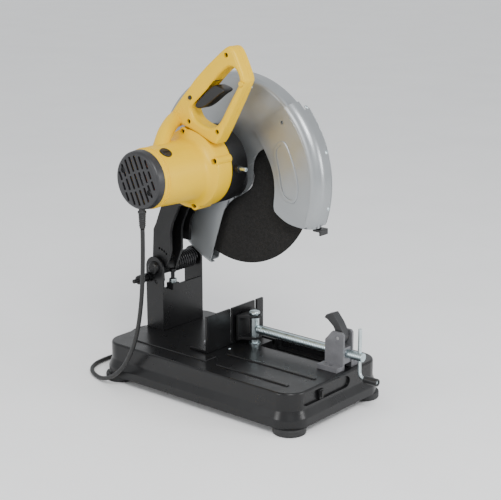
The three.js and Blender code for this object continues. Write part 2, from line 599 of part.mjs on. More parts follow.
function makeMotorHousing() {
  const outer = turned([
    [MOTOR_END, 0], [MOTOR_END, 55], [-64, 60], [-50, 66], [-44, 75], [-38, FLANGE_RADIUS],
    [-7, FLANGE_RADIUS], [-5, 75], [-5, 0],
  ], MOTOR.y, MOTOR.z, 36);
  const inner = turned([
    [MOTOR_END - 1, 0], [MOTOR_END - 1, 48.8], [-52, 48.8], [-40, 69], [-4, 69], [-4, 0],
  ], MOTOR.y, MOTOR.z, 36);
  const screwPoints = SCREW_ANGLES.map((angle) => arc(MOTOR, 70, angle, angle, 1)[0]);
  const bosses = screwPoints.map(([y, z]) => cylinderX(-46, -5, y, z, 9.5, 12));
  const screwWays = screwPoints.map(([y, z]) => cylinderX(-50, -39, y, z, 5.3, 8));
  const brushWays = Object.values(BRUSH_ANGLES).map(
    (angle) => bar(brushPoint(angle, 40), brushPoint(angle, 64), 12.3, 12.3, 16));
  const bearingSpider = ringX(-160.5, -151, MOTOR, 14.2, 18, 20);
  const spokes = [30, 150, 270].map((angle) => box(-160, -153, 16, 50, -4, 4).rotate([angle, 0, 0])
    .translate([0, MOTOR.y, MOTOR.z]));
  const body = cut(join(outer, ...bosses), inner);
  const housing = cut(join(body, bearingSpider, ...spokes), ...screwWays, ...brushWays);
  place('motor_housing', housing, 'yellow_shell');
}

function makeBrushes() {
  for (const [side, angle] of Object.entries(BRUSH_ANGLES)) {
    const cap = bar(brushPoint(angle, 48.9), brushPoint(angle, 58.2), 12, 11.4, 16);
    place(`brush_cap_${side}`, cap, 'black_plastic');
    place(`brush_${side}`, bar(brushPoint(angle, 15.3), brushPoint(angle, 48.5), 4.5, 4.5, 8), 'carbon');
  }
}

function makeEndCap() {
  const outer = turned([
    [CAP_END, 0], [CAP_END, 49], [CAP_END + 2, 52.5], [CAP_END + 5, 54], [MOTOR_END - GAP, 55.2],
    [MOTOR_END - GAP, 0],
  ], MOTOR.y, MOTOR.z, 36);
  const inner = cylinderX(CAP_END + 4, MOTOR_END + 1, MOTOR.y, MOTOR.z, 48, 48);
  const slots = [];
  for (let row = -3; row <= 3; row += 1) {
    const half = Math.sqrt(44 * 44 - (row * 12) ** 2);
    const stretches = [[-half, -half / 3 - 2], [-half / 3 + 2, half / 3 - 2], [half / 3 + 2, half]];
    for (const [low, high] of stretches) {
      slots.push(box(CAP_END - 1, CAP_END + 5, row * 12 - 1.7, row * 12 + 1.7, low, high).rotate([-24, 0, 0])
        .translate([0, MOTOR.y, MOTOR.z]));
    }
  }
  const reliefSeat = cylinderZ(-174.5, MOTOR.y - 3.7, MOTOR.z - 60, MOTOR.z - 44, 6.3);
  place('end_cap', cut(outer, inner, reliefSeat, ...slots), 'gray_plastic');
}

// ---------------------------------------------------------------- handle
const HANDLE_OUTLINE = [
  [137, 526], [109, 560], [78, 592], [72, 600], [39, 630], [8, 655], [-8, 667], [-18, 668], [-28, 660],
  [-44, 628], [-51, 612], [-50, 602], [14, 487], [24, 484], [50, 494], [78, 505], [108, 512], [130, 514],
];
const HANDLE_OPENING = [
  [12, 521], [-10, 559], [-36, 599], [-39, 610], [-32, 626], [-17, 633], [3, 621], [31, 594], [40, 583],
  [79, 549], [80, 542], [72, 527], [54, 518], [32, 513],
];
const TRIGGER_OUTLINE = [
  [73, 548], [70, 557], [48, 576], [27, 593], [19, 594], [1, 589], [-1, 584], [14, 576], [38, 557], [58, 546],
];
const TRIGGER_ROOM = [
  [78, 541], [77, 556], [55, 580], [27, 601], [10, 601], [-3, 597], [-3, 578], [30, 550], [60, 538],
];
const TRIGGER_PIVOT = { y: 66, z: 553 };
const LOCK_BUTTON = { y: 80, z: 566 };

function makeHandle() {
  const flangeRoom = cylinderX(-60, -4, MOTOR.y, MOTOR.z, FLANGE_RADIUS + GAP, 44);
  const bossRoom = SCREW_ANGLES.slice(0, 2).map((angle) => {
    const [[y, z]] = arc(MOTOR, 70, angle, angle, 1);
    return cylinderX(-50, 0, y, z, 9.8, 20);
  });
  const opening = prismX(HANDLE_OPENING, HANDLE.x0 - 1, HANDLE.x1 + 1);
  const triggerRoom = prismX(TRIGGER_ROOM, HANDLE.x0 + 3, HANDLE.x1 - 3);
  const buttonWay = cylinderX(HANDLE.x0 - 1, -31, LOCK_BUTTON.y, LOCK_BUTTON.z, 4.2, 20);
  const switchRoom = box(-42, -18, 22, 60, 599, 613);
  const middle = (HANDLE.x0 + HANDLE.x1) / 2;
  const rooms = [opening, flangeRoom, triggerRoom, buttonWay, switchRoom, ...bossRoom];
  const whole = cut(prismX(HANDLE_OUTLINE, HANDLE.x0, HANDLE.x1, 6, 3), ...rooms);
  place('handle_left', cut(whole, box(middle - 0.15, 20, -200, 300, 300, 800)), 'yellow_shell');
  place('handle_right', cut(whole, box(-100, middle + 0.15, -200, 300, 300, 800)), 'yellow_shell');
  const trigger = prismX(TRIGGER_OUTLINE, HANDLE.x0 + 3.5, HANDLE.x1 - 3.5, 1);
  const lockHole = cylinderX(HANDLE.x0, HANDLE.x1, 27, 581, 3, 16);
  place('trigger', cut(trigger, lockHole), 'black_plastic');
  const button = cylinderX(HANDLE.x0 - 2.5, -33.5, LOCK_BUTTON.y, LOCK_BUTTON.z, 4, 20);
  place('trigger_lock_button', button, 'black_plastic');
  place('switch_block', box(-41, -19, 23, 59, 601.5, 612.5), 'black_plastic');
}

function makeStrut() {
  const path = [[-40, 122, 521], [-58, 119, 518], [-84, 111, 506], [-106, 101, 488], [-122, 93, 470]];
  const handleRoom = prismX(HANDLE_OUTLINE, HANDLE.x0 - GAP, HANDLE.x1 + GAP);
  const housingRoom = turned([
    [MOTOR_END - 1, 0], [MOTOR_END - 1, 55.3], [-64, 60.3], [-50, 66.3], [-44, 76], [0, 76.4], [0, 0],
  ], MOTOR.y, MOTOR.z, 36);
  const strut = tube(path, 14.5, 12, 12);
  place('handle_strut', cut(strut, handleRoom, housingRoom), 'yellow_shell');
}

// ---------------------------------------------------------------- wheel and guards
function makeWheel() {
  const half = WHEEL_THICKNESS / 2;
  place('wheel', ringX(WHEEL_X - half, WHEEL_X + half, SPINDLE, 12.9, WHEEL_RADIUS, 80), 'abrasive');
  const innerFlange = turned([
    [-5.5, 10.2], [-5.5, 30], [-1.8, 38], [-1.8, 12.6], [1.2, 12.6], [1.2, 8.2], [-3.5, 8.2], [-3.5, 10.2],
    [-5.5, 10.2],
  ], SPINDLE.y, SPINDLE.z, 24);
  place('inner_flange', innerFlange.translate([WHEEL_X, 0, 0]), 'steel');
  const outerFlange = turned([
    [1.8, 8.2], [1.8, 38], [6, 30], [6, 8.2], [1.8, 8.2],
  ], SPINDLE.y, SPINDLE.z, 24);
  place('outer_flange', outerFlange.translate([WHEEL_X, 0, 0]), 'steel');
  const boltHead = hexagonX(WHEEL_X + 8, WHEEL_X + 15, SPINDLE.y, SPINDLE.z, 17);
  const boltWasher = cylinderX(WHEEL_X + 6.3, WHEEL_X + 8.2, SPINDLE.y, SPINDLE.z, 14);
  place('wheel_bolt', join(boltHead, boltWasher), 'steel');
}

// A guard's section is a channel that is open towards the spindle, turned all the way round before it is cut.
function guardChannel(guard, nearRound, farRound) {
  const { x0, x1, radius, sheet } = guard;
  const round = (cx, sign, cr, size, steps) => Array.from({ length: steps + 1 }, (_, step) => {
    const angle = (Math.PI / 2) * (step / steps);
    return [cx - sign * size * Math.cos(angle), cr + size * Math.sin(angle)];
  });
  const outline = [[x0, 20], ...round(x0 + nearRound, 1, radius - nearRound, nearRound, 2),
    ...round(x1 - farRound, -1, radius - farRound, farRound, 1).reverse(), [x1, 20], [x1 - sheet, 20],
    ...round(x1 - farRound, -1, radius - farRound, farRound - sheet, 1),
    ...round(x0 + nearRound, 1, radius - nearRound, nearRound - sheet, 2).reverse(), [x0 + sheet, 20],
    [x0, 20]];
  return turned(outline, SPINDLE.y, SPINDLE.z, 48);
}

const FIXED_ANGLES = { from: -71, to: 138 };
const LOWER_ANGLES = { from: 135, to: 201 };
const NEAR_CUTAWAY = [
  [-95, 520], [-40, 478], [1, 461], [14, 442], [18, 425], [17, 402], [26, 382], [45, 367], [72, 353],
  [92, 330], [101, 304], [111, 274], [122, 240],
];
const HUB_COLLAR = { inner: 24, outer: 30 };

function makeFixedGuard() {
  const channel = guardChannel(FIXED_GUARD, 9, 4);
  const { from, to } = FIXED_ANGLES;
  const { x0, x1 } = FIXED_GUARD;
  const sweep = arc(SPINDLE, 280, from, to, 12);
  const nearSector = prismX([...sweep, ...NEAR_CUTAWAY], x0 - 5, x0 + 16);
  const farSector = prismX([...sweep, [SPINDLE.y - 30, SPINDLE.z + 5], [SPINDLE.y - 10, SPINDLE.z - 34],
    [SPINDLE.y + 30, SPINDLE.z - 30]], x0 + 14, x1 + 5);
  const nearPlate = prismX([[SPINDLE.y + 22, SPINDLE.z + 32], ...arc(SPINDLE, 37, 60, -110, 16).slice(0, 12),
    [72, 353], [92, 330], [140, 380], [110, 440]], x0, x0 + 2);
  const centre = join(ringX(x0, x0 + 2, SPINDLE, 14.5, 34, 32), nearPlate);
  const farDisc = ringX(x1 - 2, x1, SPINDLE, HUB_COLLAR.inner, 70, 24);
  const collar = ringX(x1 - 2, x1 + 8, SPINDLE, HUB_COLLAR.inner, HUB_COLLAR.outer, 24);
  const closed = join(channel.intersect(join(nearSector, farSector)), centre, farDisc, collar);
  const spindleWay = cylinderX(x0 - 4, x0 + 6, SPINDLE.y, SPINDLE.z, 14.5);
  const wheelWay = cylinderX(x1 - 6, x1 + 12, SPINDLE.y, SPINDLE.z, HUB_COLLAR.inner);
  const reach = prismX(NEAR_CUTAWAY.slice(2).concat([[-60, 240], [-60, 461]]), x0 - 1, x0 + 3);
  place('fixed_guard', cut(closed, spindleWay, wheelWay, reach), 'silver_guard');
}

function makeLowerGuard() {
  const channel = guardChannel(LOWER_GUARD, 20, 4);
  const { from, to } = LOWER_ANGLES;
  const { x0, x1 } = LOWER_GUARD;
  const sweep = arc(SPINDLE, 260, from, to, 10);
  const innerEdge = [
    [-138, 327], [-126, 324], [-74, 327], [-45, 342], [-35, 352], [-40, 390], [-34, 428], [-11, 468],
    [15, 499],
  ];
  const nearSector = prismX([...sweep, ...innerEdge], x0 - 5, x0 + 26);
  const farSector = prismX([
    ...sweep, [SPINDLE.y - 96, SPINDLE.z - 30], [SPINDLE.y - 90, SPINDLE.z + 46],
  ], x0 + 24, x1 + 5);
  const hubRing = ringX(x1 - 2, x1, SPINDLE, HUB_COLLAR.outer + 0.6, 46, 24);
  const spokes = prismX([
    [SPINDLE.y - 20, SPINDLE.z + 34], [SPINDLE.y - 110, SPINDLE.z + 64], [SPINDLE.y - 112, SPINDLE.z - 44],
    [SPINDLE.y - 20, SPINDLE.z - 34],
  ], x1 - 2, x1);
  const hubRoom = cylinderX(x1 - 6, x1 + 6, SPINDLE.y, SPINDLE.z, HUB_COLLAR.outer + 0.6, 24);
  const body = join(channel.intersect(join(nearSector, farSector)), hubRing, spokes);
  place('lower_guard', cut(body, hubRoom), 'silver_guard');
  const retainer = cut(ringX(x1 + GAP, FIXED_GUARD.x1 + 10.3, SPINDLE, 25, 42, 24),
    cylinderX(x1, FIXED_GUARD.x1 + 8.3, SPINDLE.y, SPINDLE.z, HUB_COLLAR.outer + 0.3, 24));
  place('guard_retainer', retainer, 'black_cast');
  const foot = box(x0 + 16, x1 - 4, -137, -118, 318.5, 323.2);
  const lip = box(x0 + 16, x1 - 4, -137, -133, 312, 320);
  const stem = box(x0 + 22, x1 - 8, -124.5, -119.5, 321, 327);
  place('guard_bumper', join(foot, lip, stem), 'black_plastic');
}

// ---------------------------------------------------------------- cord
const RELIEF_TOP = 377.5;
const RELIEF_BOTTOM = 340;
const EXIT = { x: -174.5, y: 85 };
const COIL = { x: 92, y: 314, radius: 46, turnsWide: 3, layers: 2 };
const CORD_ROUTE = [
  [-174.5, 85, 339.7], [-174.5, 85, 322], [-174.5, 85.5, 296], [-174.3, 87, 262], [-174, 90, 224],
  [-173, 96, 184], [-171.5, 106, 142], [-169.5, 122, 100], [-167, 145, 62], [-164, 172, 34],
  [-160, 202, 15], [-154, 232, 6.2],
  [-143, 262, 4.6], [-124, 287, 4.6], [-96, 302, 4.6], [-62, 306, 4.6], [-28, 303, 4.6], [4, 297, 4.6],
  [29, 290, 4.6], [50, 281, 4.6],
];
const PLUG = { x0: 160, y: 266, length: 44 };

function makeCord() {
  const relief = join(
    bar([EXIT.x, EXIT.y, RELIEF_BOTTOM], [EXIT.x, EXIT.y, 372], 4.6, 6, 16),
    cylinderZ(EXIT.x, EXIT.y, 366, 372.5, 8), cylinderZ(EXIT.x, EXIT.y, 371, RELIEF_TOP + 4, 6));
  place('strain_relief', relief, 'rubber');
  place('cord_tube', tube(CORD_ROUTE, CORD_RADIUS, 50, 8), 'rubber');
  const half = COIL.turnsWide * CORD_RADIUS;
  const high = 0.4 + COIL.layers * 2 * CORD_RADIUS;
  const section = [[COIL.radius - half, 0.4], [COIL.radius + half, 0.4], [COIL.radius + half, high],
    [COIL.radius - half, high], [COIL.radius - half, 0.4]].map(([radius, z]) => new THREE.Vector2(radius, z));
  const ring = solid(new THREE.LatheGeometry(section, 40).rotateX(Math.PI / 2).translate(COIL.x, COIL.y, 0));
  const entry = tube(CORD_ROUTE.slice(-3), CORD_RADIUS + 0.4, 8, 10);
  place('cord_coil', cut(ring, entry), 'rubber');
  const plug = join(
    bar([PLUG.x0, PLUG.y, 14], [PLUG.x0 + 16, PLUG.y, 14], 6, 11, 20),
    box(PLUG.x0 + 14, PLUG.x0 + PLUG.length, PLUG.y - 16, PLUG.y + 16, 1, 27),
    cylinderX(PLUG.x0 + 40, PLUG.x0 + PLUG.length + 19, PLUG.y - 9.5, 14, 2.4, 16),
    cylinderX(PLUG.x0 + 40, PLUG.x0 + PLUG.length + 19, PLUG.y + 9.5, 14, 2.4, 16));
  place('plug', plug, 'rubber');
}

makeBase();
makeFeet();
makeToolClip();
makeFence();
makePost();
makePivotHardware();
makeLockPin();
makeReturnSpring();
makeViseBracket();
makeViseLever();
makeViseScrew();
makeJaw();
makeArm();
makeGearCase();
makeDrive();
makeMotorHousing();
makeBrushes();
makeEndCap();
makeHandle();
makeStrut();
makeWheel();
makeFixedGuard();
makeLowerGuard();
makeCord();

export default saw;
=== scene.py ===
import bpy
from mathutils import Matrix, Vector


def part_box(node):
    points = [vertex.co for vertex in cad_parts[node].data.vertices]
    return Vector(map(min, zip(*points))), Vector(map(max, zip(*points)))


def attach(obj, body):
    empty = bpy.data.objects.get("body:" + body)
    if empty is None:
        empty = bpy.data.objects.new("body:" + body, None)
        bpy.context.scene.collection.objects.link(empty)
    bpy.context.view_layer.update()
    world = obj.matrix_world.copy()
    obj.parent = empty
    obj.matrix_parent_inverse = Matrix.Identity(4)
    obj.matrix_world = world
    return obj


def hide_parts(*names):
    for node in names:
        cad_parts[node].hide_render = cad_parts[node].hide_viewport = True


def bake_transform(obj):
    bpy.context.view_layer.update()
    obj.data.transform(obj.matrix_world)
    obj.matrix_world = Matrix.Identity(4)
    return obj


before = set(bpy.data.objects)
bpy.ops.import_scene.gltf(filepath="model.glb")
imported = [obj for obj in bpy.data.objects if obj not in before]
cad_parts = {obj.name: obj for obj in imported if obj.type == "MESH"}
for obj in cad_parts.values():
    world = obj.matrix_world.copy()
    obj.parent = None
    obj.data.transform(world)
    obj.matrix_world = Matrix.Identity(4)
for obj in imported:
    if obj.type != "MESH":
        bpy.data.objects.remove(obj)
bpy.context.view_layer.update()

import math

import bmesh
import bpy
from mathutils import Matrix, Vector

MM = 0.001


# ------------------------------------------------------------------ places taken from the frame
def middle(node):
    low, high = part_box(node)
    return (low + high) / 2


BASE = middle("base_shell")


def at(x, y, z):
    """A point given in millimetres from the middle of the base, with z from the floor."""
    return Vector((BASE.x + x * MM, BASE.y + y * MM, z * MM))


def millimetres(point):
    return Vector(((point.x - BASE.x) / MM, (point.y - BASE.y) / MM, point.z / MM))


SPINDLE = millimetres(middle("wheel"))
MOTOR = millimetres(middle("stator"))
PIVOT = millimetres(middle("pivot_bolt"))
CORD_EXIT = (-174.5, 85, 339.7)


# ------------------------------------------------------------------ camera and light
def make_camera():
    azimuth, elevation, distance = math.radians(-49.97), math.radians(15.41), 2.5747
    back = Vector((math.sin(azimuth) * math.cos(elevation), -math.cos(azimuth) * math.cos(elevation),
                   math.sin(elevation)))
    camera = bpy.data.objects.new("camera", bpy.data.cameras.new("camera"))
    camera.data.lens = 94.87
    camera.data.sensor_width = 36
    camera.location = at(59.7, 23.3, 260.1) + back * distance
    camera.rotation_euler = back.to_track_quat("Z", "Y").to_euler()
    bpy.context.collection.objects.link(camera)
    bpy.context.scene.camera = camera


def make_light(name, position, aim, size, power):
    light = bpy.data.lights.new(name, "AREA")
    light.shape = "DISK"
    light.size = size
    light.energy = power
    lamp = bpy.data.objects.new(name, light)
    lamp.location = position
    lamp.rotation_euler = (Vector(position) - Vector(aim)).to_track_quat("Z", "Y").to_euler()
    bpy.context.collection.objects.link(lamp)


def make_studio():
    world = bpy.data.worlds.new("studio")
    bpy.context.scene.world = world
    world.use_nodes = True
    background = world.node_tree.nodes["Background"]
    background.inputs["Color"].default_value = (0.96, 0.98, 1, 1)
    background.inputs["Strength"].default_value = 0.95
    make_light("key", (-1.4, -1.9, 2.3), (0, 0, 0.3), 1.1, 70)
    make_light("side", (-2.4, 0.6, 0.9), (0, 0, 0.3), 0.9, 16)
    make_light("front", (0.9, -2.4, 0.9), (0, 0, 0.3), 0.9, 22)
    bpy.ops.mesh.primitive_plane_add(size=80, location=(0, 0, -0.0002))
    floor = bpy.context.object
    floor.name = "floor"
    paint = surface("floor_paint", (0.94, 0.94, 0.94), 0.75, spread=0.02, scale=3, bump=0.02)
    floor.data.materials.append(paint)


# ------------------------------------------------------------------ materials
def add(tree, kind, **settings):
    node = tree.nodes.new(kind)
    for key, value in settings.items():
        if key in node.inputs:
            node.inputs[key].default_value = value
        else:
            setattr(node, key, value)
    return node


def noise(tree, coords, scale, detail=4.0, stretch=None):
    source = coords.outputs["Object"]
    if stretch:
        mapping = add(tree, "ShaderNodeMapping")
        mapping.inputs["Scale"].default_value = stretch
        tree.links.new(source, mapping.inputs["Vector"])
        source = mapping.outputs["Vector"]
    texture = add(tree, "ShaderNodeTexNoise", Scale=scale, Detail=detail, Roughness=0.6)
    tree.links.new(source, texture.inputs["Vector"])
    return texture.outputs["Fac"]


def ramp(tree, factor, low, high, start=0.3, end=0.7):
    node = add(tree, "ShaderNodeValToRGB")
    node.color_ramp.elements[0].position = start
    node.color_ramp.elements[1].position = end
    node.color_ramp.elements[0].color = (*low, 1)
    node.color_ramp.elements[1].color = (*high, 1)
    tree.links.new(factor, node.inputs["Fac"])
    return node.outputs["Color"]


def span(tree, factor, low, high):
    node = add(tree, "ShaderNodeMapRange")
    node.inputs["From Min"].default_value = 0.3
    node.inputs["From Max"].default_value = 0.7
    node.inputs["To Min"].default_value = low
    node.inputs["To Max"].default_value = high
    tree.links.new(factor, node.inputs["Value"])
    return node.outputs["Result"]


def shade(color, factor):
    return tuple(min(1, channel * factor) for channel in color)


def surface(name, color, roughness, metallic=0.0, spread=0.12, scale=40, bump=0.1, grain=900,
            depth=0.0002, stretch=None, specular=0.5):
    """A material whose colour, gloss and relief all vary.

    spread is how far the colour varies; bump, grain and depth describe the relief.
    """
    material = bpy.data.materials.new(name)
    material.use_nodes = True
    tree = material.node_tree
    shader = tree.nodes["Principled BSDF"]
    shader.inputs["Metallic"].default_value = metallic
    shader.inputs["Specular IOR Level"].default_value = specular
    coords = add(tree, "ShaderNodeTexCoord")
    cloud = noise(tree, coords, scale, 6, stretch)
    tint = ramp(tree, cloud, shade(color, 1 - spread), shade(color, 1 + spread))
    tree.links.new(tint, shader.inputs["Base Color"])
    wear = noise(tree, coords, scale * 2.7, 3, stretch)
    gloss = span(tree, wear, roughness * 0.86, min(1, roughness * 1.16))
    tree.links.new(gloss, shader.inputs["Roughness"])
    relief = add(tree, "ShaderNodeBump", Strength=bump, Distance=depth)
    tree.links.new(noise(tree, coords, grain, 3, stretch), relief.inputs["Height"])
    tree.links.new(relief.outputs["Normal"], shader.inputs["Normal"])
    return material


def abrasive_surface():
    """Dark resin with pale grit over a fine bumpy relief."""
    material = surface("abrasive", (0.012, 0.0115, 0.011), 0.86, spread=0.3, scale=140, bump=0.6,
                       grain=520,
                       depth=0.0006, specular=0.3)
    tree = material.node_tree
    shader = tree.nodes["Principled BSDF"]
    coords = add(tree, "ShaderNodeTexCoord")
    grit = add(tree, "ShaderNodeTexVoronoi", Scale=520.0)
    tree.links.new(coords.outputs["Object"], grit.inputs["Vector"])
    speck = add(tree, "ShaderNodeMath", operation="LESS_THAN")
    speck.inputs[1].default_value = 0.16
    tree.links.new(grit.outputs["Distance"], speck.inputs[0])
    mix = add(tree, "ShaderNodeMix", data_type="RGBA")
    old = shader.inputs["Base Color"].links[0].from_socket
    tree.links.new(speck.outputs[0], mix.inputs["Factor"])
    tree.links.new(old, mix.inputs[6])
    mix.inputs[7].default_value = (0.045, 0.042, 0.038, 1)
    tree.links.new(mix.outputs[2], shader.inputs["Base Color"])
    return material


def threaded_surface():
    """Zinc with the ripple of a rolled thread along Y."""
    material = surface("zinc_thread", (0.52, 0.62, 0.65), 0.3, metallic=1, spread=0.12, scale=60,
                       bump=0.2, grain=700)
    tree = material.node_tree
    coords = add(tree, "ShaderNodeTexCoord")
    wave = add(tree, "ShaderNodeTexWave", Scale=80.0, bands_direction="Y", wave_profile="SIN")
    tree.links.new(coords.outputs["Object"], wave.inputs["Vector"])
    relief = add(tree, "ShaderNodeBump", Strength=0.35, Distance=0.0006)
    tree.links.new(wave.outputs["Fac"], relief.inputs["Height"])
    tree.links.new(relief.outputs["Normal"], tree.nodes["Principled BSDF"].inputs["Normal"])
    return material


MATERIALS = {
    "black_enamel": surface("black_enamel", (0.0055, 0.0055, 0.006), 0.3, spread=0.15, scale=14,
                            bump=0.1, grain=420,
                            specular=0.36),
    "black_casting": surface("black_casting", (0.0065, 0.0065, 0.007), 0.44, spread=0.2, scale=30,
                             bump=0.3, grain=650,
                             depth=0.0004, specular=0.35),
    "black_hardware": surface("black_hardware", (0.009, 0.009, 0.0095), 0.34, metallic=0.3, spread=0.2,
                              scale=60,
                              specular=0.4),
    "bare_steel": surface("bare_steel", (0.55, 0.55, 0.56), 0.32, metallic=1, spread=0.1, scale=80,
                          stretch=(1, 6, 6)),
    "spring_steel": surface("spring_steel", (0.045, 0.045, 0.048), 0.3, metallic=0.7, spread=0.2,
                            scale=60),
    "zinc_plate": surface("zinc_plate", (0.56, 0.64, 0.66), 0.3, metallic=1, spread=0.14, scale=60,
                          bump=0.15,
                          grain=500),
    "cast_gray": surface("cast_gray", (0.17, 0.17, 0.18), 0.48, metallic=0.5, spread=0.16, scale=50,
                         bump=0.4,
                         grain=600, depth=0.0004),
    "guard_gray": surface("guard_gray", (0.315, 0.33, 0.34), 0.33, metallic=0.7, spread=0.05, scale=9,
                          bump=0.09,
                          grain=800),
    "yellow_nylon": surface("yellow_nylon", (0.76, 0.465, 0.0), 0.4, spread=0.03, scale=16, bump=0.16,
                            grain=1500,
                            specular=0.35),
    "black_nylon": surface("black_nylon", (0.008, 0.008, 0.0085), 0.38, spread=0.15, scale=40, bump=0.2,
                           grain=1200),
    "gray_nylon": surface("gray_nylon", (0.019, 0.019, 0.021), 0.42, spread=0.12, scale=40, bump=0.2,
                          grain=1200),
    "rubber": surface("rubber", (0.01, 0.01, 0.0105), 0.6, spread=0.2, scale=40, bump=0.3, grain=900),
    "cord_rubber": surface("cord_rubber", (0.006, 0.006, 0.006), 0.5, spread=0.2, scale=60, bump=0.2,
                           grain=900),
    "abrasive_resin": abrasive_surface(),
    "wound_copper": surface("wound_copper", (0.55, 0.2, 0.07), 0.4, metallic=0.8, spread=0.25, scale=90,
                            stretch=(12, 1, 1), bump=0.5, grain=300),
    "carbon": surface("carbon", (0.03, 0.03, 0.03), 0.6, spread=0.2, scale=90),
}
THREAD = threaded_surface()


# ------------------------------------------------------------------ mesh work
def make_object(name, points, faces):
    """A mesh object from points in millimetres from the middle of the base."""
    mesh = bpy.data.meshes.new(name)
    mesh.from_pydata([at(*point) for point in points], [], faces)
    build = bmesh.new()
    build.from_mesh(mesh)
    bmesh.ops.remove_doubles(build, verts=build.verts, dist=2e-6)
    bmesh.ops.recalc_face_normals(build, faces=build.faces)
    build.to_mesh(mesh)
    build.free()
    obj = bpy.data.objects.new(name, mesh)
    bpy.context.collection.objects.link(obj)
    return obj


def loft(name, rings, closed=False):
    """A skin over rings of equal count; it is capped at both ends unless it closes on itself."""
    count = len(rings[0])
    points = [point for ring in rings for point in ring]
    faces = []
    for step in range(len(rings) if closed else len(rings) - 1):
        here, there = step * count, ((step + 1) % len(rings)) * count
        for side in range(count):
            after = (side + 1) % count
            faces.append((here + side, here + after, there + after, there + side))
    if not closed:
        faces.append(tuple(range(count)))
        faces.append(tuple(range((len(rings) - 1) * count, len(rings) * count)))
    return make_object(name, points, faces)


def lathe_x(name, profile, centre, segments=96):
    """A turned solid about an X axis through centre; the profile of (x, radius) closes on itself."""
    rings = []
    for segment in range(segments):
        turn = 2 * math.pi * segment / segments
        rings.append([(x, centre.y + radius * math.cos(turn), centre.z + radius * math.sin(turn))
                      for x, radius in profile])
    return loft(name, rings, closed=True)


def cylinder(name, start, end, radius, end_radius=None, segments=32):
    start, end = Vector(start), Vector(end)
    end_radius = radius if end_radius is None else end_radius
    turn = Vector((0, 0, 1)).rotation_difference((end - start).normalized())
    rings = []
    for place, size in ((start, radius), (end, end_radius)):
        ring = []
        for segment in range(segments):
            angle = 2 * math.pi * segment / segments
            ring.append(tuple(place + turn @ Vector((size * math.cos(angle), size * math.sin(angle), 0))))
        rings.append(ring)
    return loft(name, rings)


def block(name, low, high):
    (x0, y0, z0), (x1, y1, z1) = low, high
    rings = [[(x0, y0, z), (x1, y0, z), (x1, y1, z), (x0, y1, z)] for z in (z0, z1)]
    return loft(name, rings)


def smooth_outline(outline, rounds=2):
    """The outline with its corners cut again and again, which rounds them."""
    points = [Vector(point) for point in outline]
    for _ in range(rounds):
        cut = []
        for here, there in zip(points, points[1:] + points[:1]):
            cut += [here.lerp(there, 0.25), here.lerp(there, 0.75)]
        points = cut
    area = sum(a.x * b.y - b.x * a.y for a, b in zip(points, points[1:] + points[:1]))
    return points if area > 0 else points[::-1]


def inset(points, distance):
    """The outline moved inwards by distance; it runs anticlockwise."""
    moved = []
    for before, here, after in zip(points[-1:] + points[:-1], points, points[1:] + points[:1]):
        along = (after - before).normalized()
        moved.append(here + Vector((-along.y, along.x)) * distance)
    return moved


def rounded_prism(name, outline, x0, x1, round0, round1, hole=None, steps=4):
    """A prism along X whose rims are rounded, with an optional hole whose rims are rounded too."""
    levels = sorted((x0 + round0 * (1 - math.cos(math.pi / 2 * step / steps)),
                     round0 * (1 - math.sin(math.pi / 2 * step / steps))) for step in range(steps + 1))
    levels += sorted((x1 - round1 * (1 - math.cos(math.pi / 2 * step / steps)),
                      round1 * (1 - math.sin(math.pi / 2 * step / steps))) for step in range(steps + 1))
    build = bmesh.new()

    def walls(points, sign):
        rings = []
        for x, depth in levels:
            ring = [build.verts.new(at(x, point.x, point.y)) for point in inset(points, sign * depth)]
            rings.append(ring)
        for low, high in zip(rings, rings[1:]):
            for side in range(len(low)):
                after = (side + 1) % len(low)
                build.faces.new((low[side], low[after], high[after], high[side]))
        return rings

    outer = walls(outline, 1)
    inner = walls(hole, -1) if hole else None
    for end in (0, -1):
        loops = [outer[end]] + ([inner[end]] if inner else [])
        edges = []
        for loop in loops:
            edges += [build.edges.get((a, b)) for a, b in zip(loop, loop[1:] + loop[:1])]
        bmesh.ops.triangle_fill(build, use_beauty=True, edges=edges)
    bmesh.ops.recalc_face_normals(build, faces=build.faces)
    mesh = bpy.data.meshes.new(name)
    build.to_mesh(mesh)
    build.free()
    obj = bpy.data.objects.new(name, mesh)
    bpy.context.collection.objects.link(obj)
    return obj


def smooth_path(points, steps=8):
    """Points of one smooth curve through all the given points."""
    points = [Vector(point) for point in points]
    padded = [points[0] * 2 - points[1]] + points + [points[-1] * 2 - points[-2]]
    path = []
    for before, here, there, after in zip(padded, padded[1:], padded[2:], padded[3:]):
        for step in range(steps):
            t = step / steps
            path.append(0.5 * (2 * here + (there - before) * t
                               + (2 * before - 5 * here + 4 * there - after) * t ** 2
                               + (3 * here - before - 3 * there + after) * t ** 3))
    return path + [points[-1]]


def tube(name, path, radius, sides=16, closed=False):
    """A tube along a path; radius is a number or a function of the share of the way."""
    size = radius if callable(radius) else (lambda share: radius)
    rings = []
    forward = (path[1] - path[0]).normalized()
    side = forward.orthogonal().normalized()
    count = len(path)
    for index, point in enumerate(path):
        after = path[(index + 1) % count] if closed or index + 1 < count else point
        before = path[index - 1] if closed or index > 0 else point
        turned = (after - before).normalized()
        side = forward.rotation_difference(turned) @ side
        forward = turned
        other = forward.cross(side)
        ring = []
        for step in range(sides):
            angle = 2 * math.pi * step / sides
            offset = (side * math.cos(angle) + other * math.sin(angle)) * size(index / (count - 1))
            ring.append((point.x + offset.x, point.y + offset.y, point.z + offset.z))
        rings.append(ring)
    return loft(name, rings, closed=closed)


def applied(obj):
    """Turns obj's modifiers into its mesh."""
    bpy.context.view_layer.update()
    mesh = bpy.data.meshes.new_from_object(obj.evaluated_get(bpy.context.evaluated_depsgraph_get()))
    obj.modifiers.clear()
    obj.data = mesh
    return obj


